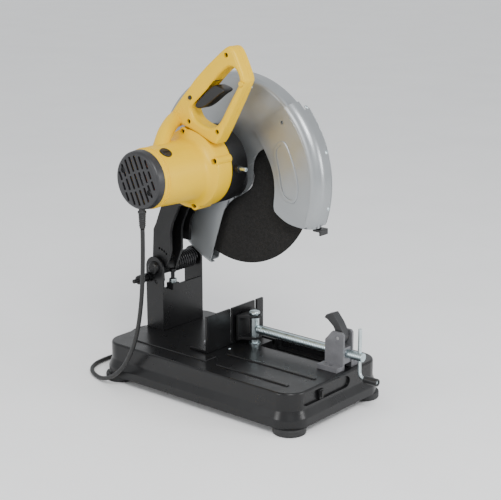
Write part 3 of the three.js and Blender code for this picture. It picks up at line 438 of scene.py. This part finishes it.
def combine(obj, other, operation):
    modifier = obj.modifiers.new(operation, "BOOLEAN")
    modifier.operation = operation
    modifier.solver = "EXACT"
    modifier.object = other
    applied(obj)
    bpy.data.objects.remove(other, do_unlink=True)
    return obj


def cut(obj, *tools):
    for tool in tools:
        combine(obj, tool, "DIFFERENCE")
    return obj


def fuse(obj, *others):
    for other in others:
        combine(obj, other, "UNION")
    return obj


def gather(name, parts):
    """Several loose solids as one object."""
    build = bmesh.new()
    for part in parts:
        build.from_mesh(part.data)
        bpy.data.objects.remove(part, do_unlink=True)
    mesh = bpy.data.meshes.new(name)
    build.to_mesh(mesh)
    build.free()
    obj = bpy.data.objects.new(name, mesh)
    bpy.context.collection.objects.link(obj)
    return obj


def soften(obj, width, angle=32):
    """Small round edges and even shading."""
    for polygon in obj.data.polygons:
        polygon.use_smooth = True
    if width:
        bevel = obj.modifiers.new("edges", "BEVEL")
        bevel.width = width * MM
        bevel.segments = 2
        bevel.limit_method = "ANGLE"
        bevel.angle_limit = math.radians(angle)
    normals = obj.modifiers.new("shading", "WEIGHTED_NORMAL")
    normals.weight = 60


def finish_piece(obj, body, slot, nodes=(), width=0.5, material=None, angle=32):
    obj.data.materials.clear()
    obj.data.materials.append(material or MATERIALS[slot])
    soften(obj, width, angle)
    if body:
        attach(obj, body)
    if nodes:
        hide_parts(*nodes)
    return obj


# ------------------------------------------------------------------ cord
CORD_RADIUS = 4.2
CORD_ROUTE = [
    CORD_EXIT, (-174.5, 85, 322), (-174.5, 85.5, 296), (-174.3, 87, 262), (-174, 90, 224),
    (-173, 96, 184), (-171.5, 106, 142), (-169.5, 122, 100), (-167, 145, 62), (-164, 172, 34),
    (-160, 202, 15), (-154, 232, 6.2),
    (-143, 262, 4.6), (-124, 287, 4.6), (-96, 302, 4.6), (-62, 306, 4.6), (-28, 303, 4.6), (4, 297, 4.6),
    (29, 290, 4.6),
]
COIL = {"x": 92, "y": 314, "radii": (54.7, 46.0, 37.3, 46.0, 54.7, 63.4), "low": 4.6, "high": 13.5,
        "start": 222}
PLUG = {"x": 160, "y": 266, "z": 14, "length": 44}


def ease(value):
    value = min(1, max(0, value))
    return value * value * (3 - 2 * value)


def coil_points():
    """Three turns inwards on the floor, two outwards on top of them, then down beside the coil."""
    points = []
    per_turn = 24
    for step in range(1, int(5.14 * per_turn)):
        turns = step / per_turn
        whole = int(turns)
        share = ease((turns - whole - 0.83) / 0.17)
        radii = COIL["radii"]
        radius = radii[whole] + (radii[min(whole + 1, 5)] - radii[whole]) * share
        rise = ease((turns - 2.6) / 0.2) - ease((turns - 4.98) / 0.15)
        z = COIL["low"] + (COIL["high"] - COIL["low"]) * rise
        angle = math.radians(COIL["start"]) + turns * 2 * math.pi
        points.append((COIL["x"] + radius * math.cos(angle), COIL["y"] + radius * math.sin(angle), z))
    return points


def make_plug():
    x, y, z = PLUG["x"], PLUG["y"], PLUG["z"]
    outline = smooth_outline([(y - 16, 1), (y + 16, 1), (y + 16, 27), (y - 16, 27)], 3)
    body = rounded_prism("plug_body", outline, x + 14, x + PLUG["length"], 5, 1.5)
    neck = cylinder("neck", (x, y, z), (x + 17, y, z), 5.6, 10.5)
    ribs = [cylinder("rib", (x + 2 + 3 * rib, y, z), (x + 3.6 + 3 * rib, y, z),
                     7.4 + rib) for rib in range(4)]
    grips = [block("grip", (x + 20 + 4 * grip, y - 16.6, 7),
                   (x + 22 + 4 * grip, y + 16.6, 21)) for grip in range(4)]
    plug = gather("mains_plug", [body, neck, *ribs, *grips])
    finish_piece(plug, "base", "cord_rubber", ["plug"], 0.3)
    pins = []
    for side in (-9.5, 9.5):
        end = x + PLUG["length"] + 19
        pins.append(cylinder("pin", (x + PLUG["length"] - 2, y + side, z), (end - 1.5, y + side, z), 2.4))
        pins.append(cylinder("tip", (end - 1.5, y + side, z), (end, y + side, z), 2.4, 1.4))
    finish_piece(gather("plug_pins", pins), "base", "zinc_plate", width=0)
    return plug


def make_cord():
    tail = [(92, 250.6, 4.6), (120, 252, 5.4), (142, 260, 10.5), (156, 265.4, 13.6), (163, 266, 14)]
    hand_made = CORD_ROUTE + coil_points()
    path = smooth_path(hand_made, 3) + smooth_path([hand_made[-1]] + tail, 6)[1:]
    cord = tube("power_cord", path, CORD_RADIUS, 14)
    finish_piece(cord, None, "cord_rubber", width=0)
    plug = make_plug()
    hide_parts("cord_tube", "cord_coil")
    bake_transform(cord)


def make_strain_relief():
    x, y, _ = CORD_EXIT
    profile = [(340, 4.4), (340, 5.2), (343, 5.3)]
    for rib in range(6):
        z = 344 + rib * 4
        size = 5.4 + rib * 0.16
        profile += [(z, size), (z + 0.5, size + 0.9), (z + 2, size + 0.9), (z + 2.5, size)]
    profile += [(368, 6.2), (368.5, 8), (372.4, 8), (373, 6), (381, 6), (381, 4.4)]
    rings = []
    for step in range(40):
        turn = 2 * math.pi * step / 40
        rings.append([(x + radius * math.cos(turn), y + radius * math.sin(turn), z) for z,
                      radius in profile])
    finish_piece(loft("cord_sleeve", rings, closed=True), "arm", "rubber", ["strain_relief"], 0)


# ------------------------------------------------------------------ base
def rounded_ring(half_width, half_length, radius, z, steps=10):
    ring = []
    for corner, (sx, sy) in enumerate(((1, 1), (-1, 1), (-1, -1), (1, -1))):
        for step in range(steps + 1):
            turn = math.pi / 2 * (corner + step / steps)
            ring.append((sx * (half_width - radius) + radius * math.cos(turn),
                         sy * (half_length - radius) + radius * math.sin(turn), z))
    return ring


def rounded_block(name, x0, x1, y0, y1, z0, z1, radius):
    rings = []
    for z in (z0, z1):
        ring = rounded_ring((x1 - x0) / 2, (y1 - y0) / 2, radius, z)
        rings.append([(x + (x0 + x1) / 2, y + (y0 + y1) / 2, z) for x, y, z in ring])
    return loft(name, rings)


def base_form(name, thinner, bottom):
    profile = [(143.5, bottom), (143.5, 28.5), (143.2, 30.2), (142.6, 31.5), (137.7, 43.8),
               (137.2, 45.6), (137, 47.5),
               (137, 75), (136.5, 77.2), (135.3, 78.8), (133.2, 79.5)]
    rings = []
    for half, z in profile:
        corner = 38 + (half - 137)
        rings.append(rounded_ring(half - thinner, half + 100 - thinner, corner - thinner,
                                  min(z, 79.5 - thinner)))
    return loft(name, rings)


def ridge_piece(points, width):
    parts = []
    for (x0, y0), (x1, y1) in zip(points, points[1:]):
        low_x, high_x = min(x0, x1) - width / 2, max(x0, x1) + width / 2
        low_y, high_y = min(y0, y1) - width / 2, max(y0, y1) + width / 2
        parts.append(rounded_block("ridge", low_x, high_x, low_y, high_y, 78.5, 81.7, width / 2.05))
    return parts


def make_base():
    shell = base_form("pressed_base", 0, 14)
    cut(shell, base_form("hollow", 2.5, 2))
    fuse(shell, rounded_block("collar", 32, 102.5, -188.5, -17.5, 59.5, 78.4, 10))
    cut(shell, rounded_block("well", 34.5, 100, -186, -20, 62, 90, 7.5),
        block("slot", (75, -30, 50), (85, 62, 90)))
    cut(shell, block("well_slot", (76, -150, 50), (84, -24, 70)))
    pocket = [(-109 + 13 + 13 * math.cos(a), 61 + 13 * math.sin(a)) for a in
              (math.pi / 2 + math.pi * step / 14 for step in range(15))]
    pocket += [(40 - 13 + 13 * math.cos(a), 61 + 13 * math.sin(a)) for a in
               (-math.pi / 2 + math.pi * step / 14 for step in range(15))]
    ring = [[(x, y, z) for x, z in pocket] for y in (-236, -230)]
    opening = [[((x + 34.5) * 0.95 - 34.5, y, (z - 61) * 0.86 + 61) for x, z in pocket] for y in (-242,
                                                                                                  -232.5)]
    fuse(shell, loft("pocket_wall", ring))
    cut(shell, loft("pocket", opening))
    finish_piece(shell, "base", "black_enamel", ["base_shell"], 1.1, angle=38)
    ribs = ridge_piece([(-98, -31), (-98, -194)], 9) + ridge_piece([(-40, -5), (-40, -211)], 9)
    ribs += ridge_piece([(-98, 186), (-98, 4)], 5) + ridge_piece([(-98, 2), (-72, 2)], 5)
    finish_piece(gather("pressed_ribs", ribs), "base", "black_enamel", width=1.5, angle=40)
    posts = [cylinder("post", (x, y, 26.3), (x, y, 77.5), 9) for x in (-113, 113) for y in (-213, 213)]
    finish_piece(gather("foot_posts", posts), "base", "black_enamel", width=0.6)
    rivets = [dome((-16, 13, 79.4), (0, 0, 1), 3.2, 1.6)]
    finish_piece(gather("base_bolts", rivets), "base", "zinc_plate", width=0)


def dome(place, axis, radius, height):
    """A shallow rounded head on a surface."""
    turn = Vector((0, 0, 1)).rotation_difference(Vector(axis))
    rings = []
    for share in (0, 0.35, 0.65, 0.88, 1):
        angle = share * math.pi / 2 * 0.98
        ring = []
        for step in range(24):
            side = 2 * math.pi * step / 24
            offset = Vector((radius * math.cos(angle) * math.cos(side),
                             radius * math.cos(angle) * math.sin(side),
                             height * math.sin(angle)))
            ring.append(tuple(Vector(place) + turn @ offset))
        rings.append(ring)
    base = [tuple(Vector(point) - turn @ Vector((0, 0, 1))) for point in rings[0]]
    return loft("dome", [base] + rings)


def screw_head(name, x, y, z, radius, body, slot="black_hardware"):
    """A pan head that faces -X, with a crossed recess."""
    profile = [(x - 0.6, 0), (x - 0.6, radius * 0.55), (x, radius * 0.85), (x + 0.9, radius),
               (x + 2.4, radius),
               (x + 2.4, 0)]
    head = lathe_x(name, profile, Vector((0, y, z)), 28)
    arm, thin = radius * 0.62, radius * 0.16
    cut(head, block("recess", (x - 3, y - arm, z - thin), (x + 1.2, y + arm, z + thin)),
        block("recess", (x - 3, y - thin, z - arm), (x + 1.2, y + thin, z + arm)))
    return finish_piece(head, body, slot, width=0.15)


# ------------------------------------------------------------------ motor
SCREW_ANGLES = (80, 161, 258, 345)
BRUSH_X = -135


def around(centre, radius, angle):
    turn = math.radians(angle)
    return centre.y + radius * math.cos(turn), centre.z + radius * math.sin(turn)


def make_motor():
    outer = [(-165, 54.6), (-164.4, 55.1), (-64, 60), (-57, 61.6), (-51, 65.2), (-47, 71), (-44, 74.6),
             (-39, 76),
             (-8, 76), (-5, 75), (-5, 69), (-40, 69), (-52, 48.8), (-165, 48.8)]
    housing = lathe_x("motor_body", outer, MOTOR, 96)
    for angle in SCREW_ANGLES:
        y, z = around(MOTOR, 70, angle)
        boss = lathe_x("boss", [(-46, 5.6), (-46, 8.2), (-44.8, 9.5), (-6, 9.5), (-6, 5.6)],
                       Vector((0, y, z)), 32)
        fuse(housing, boss)
        cut(housing, cylinder("way", (-50, y, z), (-39, y, z), 5.3))
        screw_head(f"housing_screw_{angle}", -40.5, y, z, 5, "arm")
    for angle in (120, 300):
        low, high = around(MOTOR, 40, angle), around(MOTOR, 66, angle)
        cut(housing, cylinder("brush_way", (BRUSH_X, *low), (BRUSH_X, *high), 12.3))
    finish_piece(housing, "arm", "yellow_nylon", ["motor_housing"], 0.8, angle=30)
    rings = [lathe_x("rib", [(x, 55.2), (x + 0.6, 56.6), (x + 2.2, 56.8), (x + 2.8, 55.4)], MOTOR, 96)
             for x in (-158, -153)]
    finish_piece(gather("motor_rings", rings), "arm", "yellow_nylon", width=0.3)
    for side, angle in (("upper", 120), ("lower", 300)):
        outward = Vector((0, math.cos(math.radians(angle)), math.sin(math.radians(angle))))
        low, high = around(MOTOR, 57.4, angle), around(MOTOR, 58.7, angle)
        rim = cylinder(f"brush_cap_rim_{side}", (BRUSH_X, *low), (BRUSH_X, *high), 9.6, 9.2)
        finish_piece(rim, "arm", "black_nylon", width=0.3)
        far = around(MOTOR, 59.2, angle)
        bar = block("bar", (BRUSH_X - 7, -1.1, -0.4), (BRUSH_X + 7, 1.1, 0.4))
        turn = Vector((0, 0, 1)).rotation_difference(outward)
        for vertex in bar.data.vertices:
            local = millimetres(vertex.co)
            spot = turn @ Vector((0, local.y, local.z)) + Vector((local.x, far[0], far[1]))
            vertex.co = at(*spot)
        bar.name = f"brush_cap_bar_{side}"
        finish_piece(bar, "arm", "black_hardware", width=0.2)


def make_end_cap():
    profile = [(-183, 0), (-183, 48.6), (-182.4, 50.4), (-180.6, 52.6), (-178, 54), (-166, 55.2),
               (-165.3, 54.9),
               (-165.3, 48), (-179, 48), (-179, 0)]
    cap = lathe_x("motor_end_cap", profile, MOTOR, 96)
    turn = Matrix.Rotation(math.radians(-24), 3, "X")
    tools = []
    for row in range(-3, 4):
        half = math.sqrt(46 ** 2 - (row * 12) ** 2)
        for low, high in ((-half, -half / 3 - 2), (-half / 3 + 2, half / 3 - 2), (half / 3 + 2, half)):
            rings = []
            for x in (-184, -178):
                ring = []
                for y, z in ((-2.5, low + 1.5), (-1.5, low), (1.5, low), (2.5, low + 1.5),
                             (2.5, high - 1.5), (1.5, high),
                             (-1.5, high), (-2.5, high - 1.5)):
                    spot = turn @ Vector((x, y + row * 12, z))
                    ring.append((spot.x, spot.y + MOTOR.y, spot.z + MOTOR.z))
                rings.append(ring)
            tools.append(loft("slot", rings))
    cut(cap, gather("slots", tools))
    for y, z in ((123.2, 445), (58.1, 411.6)):
        cut(cap, cylinder("hole", (-186, y, z), (-180.5, y, z), 5.4))
        screw_head(f"cap_screw_{round(y)}", -181.6, y, z, 4.6, "arm")
    cut(cap, cylinder("relief_seat", (-174.5, 85, 360), (-174.5, 85, 386), 6.3))
    finish_piece(cap, "arm", "gray_nylon", ["end_cap"], 0.45)
    windings = []
    for x, radius in ((-116, 44), (-18, 44)):
        windings.append(lathe_x("winding", [(x - 6, radius - 12), (x - 7.5, radius - 6),
                                            (x - 6, radius), (x + 6, radius),
                                            (x + 7.5, radius - 6), (x + 6, radius - 12)], MOTOR, 64))
    finish_piece(gather("field_windings", windings), "arm", "wound_copper", width=1)


# ------------------------------------------------------------------ handle
HANDLE_OUTLINE = [
    (137, 526), (109, 560), (78, 592), (72, 600), (39, 630), (8, 655), (-8, 667), (-18, 668), (-28, 660),
    (-44, 628), (-51, 612), (-50, 602), (14, 487), (24, 484), (50, 494), (78, 505), (108, 512),
    (130, 514),
]
HANDLE_OPENING = [
    (12, 521), (-10, 559), (-36, 599), (-39, 610), (-32, 626), (-17, 633), (3, 621), (31, 594), (40, 583),
    (79, 549), (80, 542), (72, 527), (54, 518), (32, 513),
]
TRIGGER_OUTLINE = [
    (73, 548), (70, 557), (48, 576), (27, 593), (19, 594), (1, 589), (-1, 584), (14, 576), (38, 557),
    (58, 546),
]
TRIGGER_ROOM = [
    (78, 541), (77, 556), (55, 580), (27, 601), (10, 601), (-3, 597), (-3, 578), (30, 550), (60, 538),
]
HANDLE_SCREWS = [(-8.5, 651.3), (-44.1, 602.8), (132.3, 521.5), (84.6, 520.6), (14.3, 508.8)]


def prism_x(name, outline, x0, x1):
    return loft(name, [[(x, y, z) for y, z in outline] for x in (x0, x1)])


def handle_half(name, x0, x1, round0, round1):
    half = rounded_prism(name, smooth_outline(HANDLE_OUTLINE, 3), x0, x1, round0, round1,
                         smooth_outline(HANDLE_OPENING, 3))
    cut(half, cylinder("flange_room", (-60, MOTOR.y, MOTOR.z), (-4, MOTOR.y, MOTOR.z), 76.3, segments=96),
        prism_x("trigger_room", TRIGGER_ROOM, -44, -16),
        block("switch_room", (-42, 22, 599), (-18, 60, 613)))
    for angle in SCREW_ANGLES[:2]:
        y, z = around(MOTOR, 70, angle)
        cut(half, cylinder("boss_room", (-50, y, z), (0, y, z), 9.8))
    return half


def make_handle():
    left = handle_half("handle_shell_left", -47, -30.15, 6.5, 0.3)
    cut(left, cylinder("button_way", (-50, 80, 566), (-31, 80, 566), 4.2))
    for number, (y, z) in enumerate(HANDLE_SCREWS):
        cut(left, cylinder("screw_way", (-49, y, z), (-41, y, z), 4.7))
        screw_head(f"handle_screw_{number}", -42.6, y, z, 4.2, "arm")
    finish_piece(left, "arm", "yellow_nylon", ["handle_left"], 0.4, angle=40)
    right = handle_half("handle_shell_right", -29.85, -13, 0.3, 6.5)
    finish_piece(right, "arm", "yellow_nylon", ["handle_right"], 0.4, angle=40)
    trigger = rounded_prism("switch_trigger", smooth_outline(TRIGGER_OUTLINE, 2), -43.5, -16.5, 2.6, 2.6)
    finish_piece(trigger, "trigger", "black_nylon", ["trigger"], 0.3)
    ridges = []
    for row in range(6):
        y, z = 104 + row * 4.4, 548 - row * 4.4
        start, end = Vector((0, y - 6, z - 6)), Vector((0, y + 1, z + 1))
        ridges.append(tube("grip", [Vector((-46.9, start.y, start.z)), Vector((-46.9, end.y, end.z))],
                           0.75, 8))
    finish_piece(gather("handle_grips", ridges), "arm", "yellow_nylon", width=0)
    path = smooth_path([(-38, 122.5, 521), (-56, 119, 516), (-82, 111, 501.5), (-104, 101, 484),
                        (-120, 93, 466)], 8)
    strut = tube("handle_brace", path, lambda share: 14.5 + 1.6 * (2 * share - 1) ** 4, 32)
    finish_piece(strut, "arm", "yellow_nylon", ["handle_strut"], 0.4)


# ------------------------------------------------------------------ guards
def guard_channel(name, x0, x1, radius, near_round, far_round, sheet=2):
    def quarter(cx, sign, size, cr, steps=7):
        return [(cx - sign * size * math.cos(math.pi / 2 * step / steps),
                 cr + size * math.sin(math.pi / 2 * step / steps)) for step in range(steps + 1)]

    near, far = radius - near_round, radius - far_round
    outline = [(x0, 20)] + quarter(x0 + near_round, 1, near_round, near)
    outline += quarter(x1 - far_round, -1, far_round, far)[::-1] + [(x1, 20), (x1 - sheet, 20)]
    outline += quarter(x1 - far_round, -1, far_round - sheet, far)
    outline += quarter(x0 + near_round, 1, near_round - sheet, near)[::-1] + [(x0 + sheet, 20)]
    return lathe_x(name, outline, SPINDLE, 132)


def sweep(radius, start, end, steps=14):
    return [around(SPINDLE, radius, start + (end - start) * step / steps) for step in range(steps + 1)]


def disc_ring(name, x0, x1, inner, outer):
    return lathe_x(name, [(x0, inner), (x0, outer), (x1, outer), (x1, inner)], SPINDLE, 64)


def curved(points, rounds=2):
    """An open line with its inner corners rounded."""
    line = [Vector(point) for point in points]
    for _ in range(rounds):
        smoother = [line[0]]
        for here, there in zip(line, line[1:]):
            smoother += [here.lerp(there, 0.25), here.lerp(there, 0.75)]
        line = smoother + [line[-1]]
    return [(point.x, point.y) for point in line]


NEAR_CUTAWAY = [
    (-95, 520), (-40, 478), (1, 461), (14, 442), (18, 425), (17, 402), (26, 382), (45, 367), (72, 353),
    (92, 330), (101, 304), (111, 274), (122, 240),
]
INNER_EDGE = [
    (-138, 327), (-126, 324), (-74, 327), (-45, 342), (-35, 352), (-40, 390), (-34, 428), (-11, 468),
    (15, 499),
]
CRESCENT = [
    (-32.1, 467.6), (-53.6, 488.3), (-68.0, 482.5), (-96.0, 417.1), (-95.2, 382.6), (-83.5, 365.4),
    (-52.1, 378.0),
    (-42.0, 432.5),
]


def make_fixed_guard():
    y, z = SPINDLE.y, SPINDLE.z
    guard = guard_channel("upper_guard", 60, 96, 200, 9, 4)
    edge = curved(NEAR_CUTAWAY)
    near = prism_x("near", sweep(280, -71, 138) + edge, 55, 76)
    far = prism_x("far", sweep(280, -71, 138) + [(y - 30, z + 5), (y - 10, z - 34), (y + 30, z - 30)],
                  74, 101)
    combine(guard, fuse(near, far), "INTERSECT")
    plate = [(y + 22, z + 32)] + [around(SPINDLE, 37, 60 - 170 * step / 16) for step in range(12)]
    plate += [(72, 353), (92, 330), (140, 380), (110, 440)]
    fuse(guard, disc_ring("centre", 60, 62, 14.5, 34), prism_x("near_plate", plate, 60, 62),
         disc_ring("far_disc", 94, 96, 24, 70), disc_ring("collar", 94, 104, 24, 30))
    cut(guard, cylinder("spindle_way", (56, y, z), (66, y, z), 14.5, segments=48),
        cylinder("wheel_way", (90, y, z), (108, y, z), 24, segments=64),
        prism_x("reach", edge[8:] + [(-60, 240), (-60, 461)], 59, 63))
    finish_piece(guard, "arm", "guard_gray", ["fixed_guard"], 0.5, angle=35)
    heads = []
    for angle in (20, 62, 104):
        heads.append(dome((60.2, *around(SPINDLE, 182, angle)), (-1, 0, 0), 4.2, 1.6))
    finish_piece(gather("upper_guard_rivets", heads), "arm", "zinc_plate", width=0)


def make_lower_guard():
    y, z = SPINDLE.y, SPINDLE.z
    guard = guard_channel("swing_guard", 56.6, 100.4, 211, 20, 4)
    edge = curved(INNER_EDGE)
    near = prism_x("near", sweep(260, 135, 201) + edge, 51, 82)
    far = prism_x("far", sweep(260, 135, 201) + [(y - 96, z - 30), (y - 90, z + 46)], 80, 106)
    combine(guard, fuse(near, far), "INTERSECT")
    spokes = [(y - 20, z + 34), (y - 110, z + 64), (y - 112, z - 44), (y - 20, z - 34)]
    fuse(guard, disc_ring("hub", 98.4, 100.4, 30.6, 46), prism_x("spokes", spokes, 98.4, 100.4))
    cut(guard, cylinder("hub_room", (94, y, z), (107, y, z), 30.6, segments=64),
        cylinder("hole", (50, -55.8, 520.5), (62, -55.8, 520.5), 3.6))
    finish_piece(guard, "lower_guard", "guard_gray", ["lower_guard"], 0.5, angle=35)
    emboss = rounded_prism("guard_emboss", smooth_outline(CRESCENT, 3), 54.9, 57.4, 1.6, 0.2)
    inner = inset(smooth_outline(CRESCENT, 3), 7)
    cut(emboss, prism_x("inside", [(point.x, point.y) for point in inner], 50, 60))
    finish_piece(emboss, "lower_guard", "guard_gray", width=0.4)
    heads = []
    for place in ((-80.9, 544.1), (-127.7, 466.8), (-139.0, 361.7)):
        outward = Vector((0, place[0] - y, place[1] - z)).normalized()
        foot = Vector((92, y, z)) + outward * 210.6
        heads.append(dome(tuple(foot), tuple(outward), 4, 1.8))
    finish_piece(gather("guard_rivets", heads), "lower_guard", "zinc_plate", width=0)
    seams = []
    for x, radius in ((96.4, 210.9), (57.1, 190)):
        arc = [Vector((x, *around(SPINDLE, radius, 137 + 62 * step / 40))) for step in range(41)]
        seams.append(tube("seam", arc, 0.9, 8))
    finish_piece(gather("guard_seams", seams), "lower_guard", "guard_gray", width=0)


# ------------------------------------------------------------------ spring and post details
def make_spring():
    points = []
    turns, start, pitch, radius = 9, 30, 6.3, 17.5
    for step in range(turns * 28 + 1):
        share = step / (turns * 28)
        angle = math.pi + share * turns * 2 * math.pi
        points.append(Vector((start + share * turns * pitch, PIVOT.y + radius * math.cos(angle),
                              PIVOT.z + radius * math.sin(angle))))
    finish_piece(tube("torsion_spring", points, 1.7, 12), "base", "spring_steel", ["return_spring"], 0)


def make_post_details():
    screw_head("post_screw", -22.9, 202, 179.1, 4.8, "base")
    ring = lathe_x("pivot_socket", [(-31.6, 4.2), (-31.6, 6.4), (-30.4, 6.8), (-30.4, 4.2)], PIVOT, 32)
    finish_piece(ring, "base", "black_hardware", width=0.2)


# ------------------------------------------------------------------ CAD pieces that stay visible
SHOWN = {
    "rubber": {"foot_front_left": 2.5, "foot_front_right": 2.5, "foot_rear_left": 2.5,
               "foot_rear_right": 2.5},
    "bare_steel": {"fence_bolt_left": 0.8, "fence_bolt_right": 0.8, "pivot_nut": 0.8,
                   "vise_lever_pin": 0.4, "spindle": 0.4, "output_gear": 0.1, "inner_flange": 0.4,
                   "outer_flange": 0.4, "wheel_bolt": 0.5, "spindle_bearing": 0.5, "rear_bearing": 0.4,
                   "stator": 0.4},
    "black_enamel": {"fence": 0.9, "pivot_post": 1.0},
    "black_hardware": {"wrench_clip": 0.4, "pivot_bolt": 0.5, "depth_stop_bolt": 0.5,
                       "arm_lock_pin": 0.4, "guard_retainer": 0.6},
    "zinc_plate": {"depth_stop_nut": 0.6, "jaw_pin": 0.5, "crank_rod": 0.2, "spindle_lock_pin": 0.6},
    "cast_gray": {"vise_bracket": 2.2, "bearing_plate": 0.6},
    "black_casting": {"arm": 1.6, "gear_case": 1.4, "vise_jaw": 1.4},
    "gray_nylon": {"vise_lever": 1.6, "fan": 0.3},
    "black_nylon": {"crank_grip": 0.8, "brush_cap_upper": 0.9, "brush_cap_lower": 0.9,
                    "switch_block": 0.4,
                    "trigger_lock_button": 0.6, "guard_bumper": 1.0},
    "abrasive_resin": {"wheel": 0.3},
    "wound_copper": {"armature": 0.4},
    "carbon": {"brush_upper": 0.3, "brush_lower": 0.3},
}


def dress(node, material, width):
    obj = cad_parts[node]
    obj.data.materials.clear()
    obj.data.materials.append(material)
    weld = obj.modifiers.new("weld", "WELD")
    weld.merge_threshold = 1e-5
    flat = obj.modifiers.new("flat", "DECIMATE")
    flat.decimate_type = "DISSOLVE"
    flat.angle_limit = math.radians(0.6)
    soften(obj, width, 33)


def dress_frame():
    for slot, nodes in SHOWN.items():
        for node, width in nodes.items():
            dress(node, MATERIALS[slot], width)
    dress("vise_screw", THREAD, 0.6)


make_camera()
make_studio()
make_cord()
make_strain_relief()
make_base()
make_motor()
make_end_cap()
make_handle()
make_fixed_guard()
make_lower_guard()
make_spring()
make_post_details()
dress_frame()
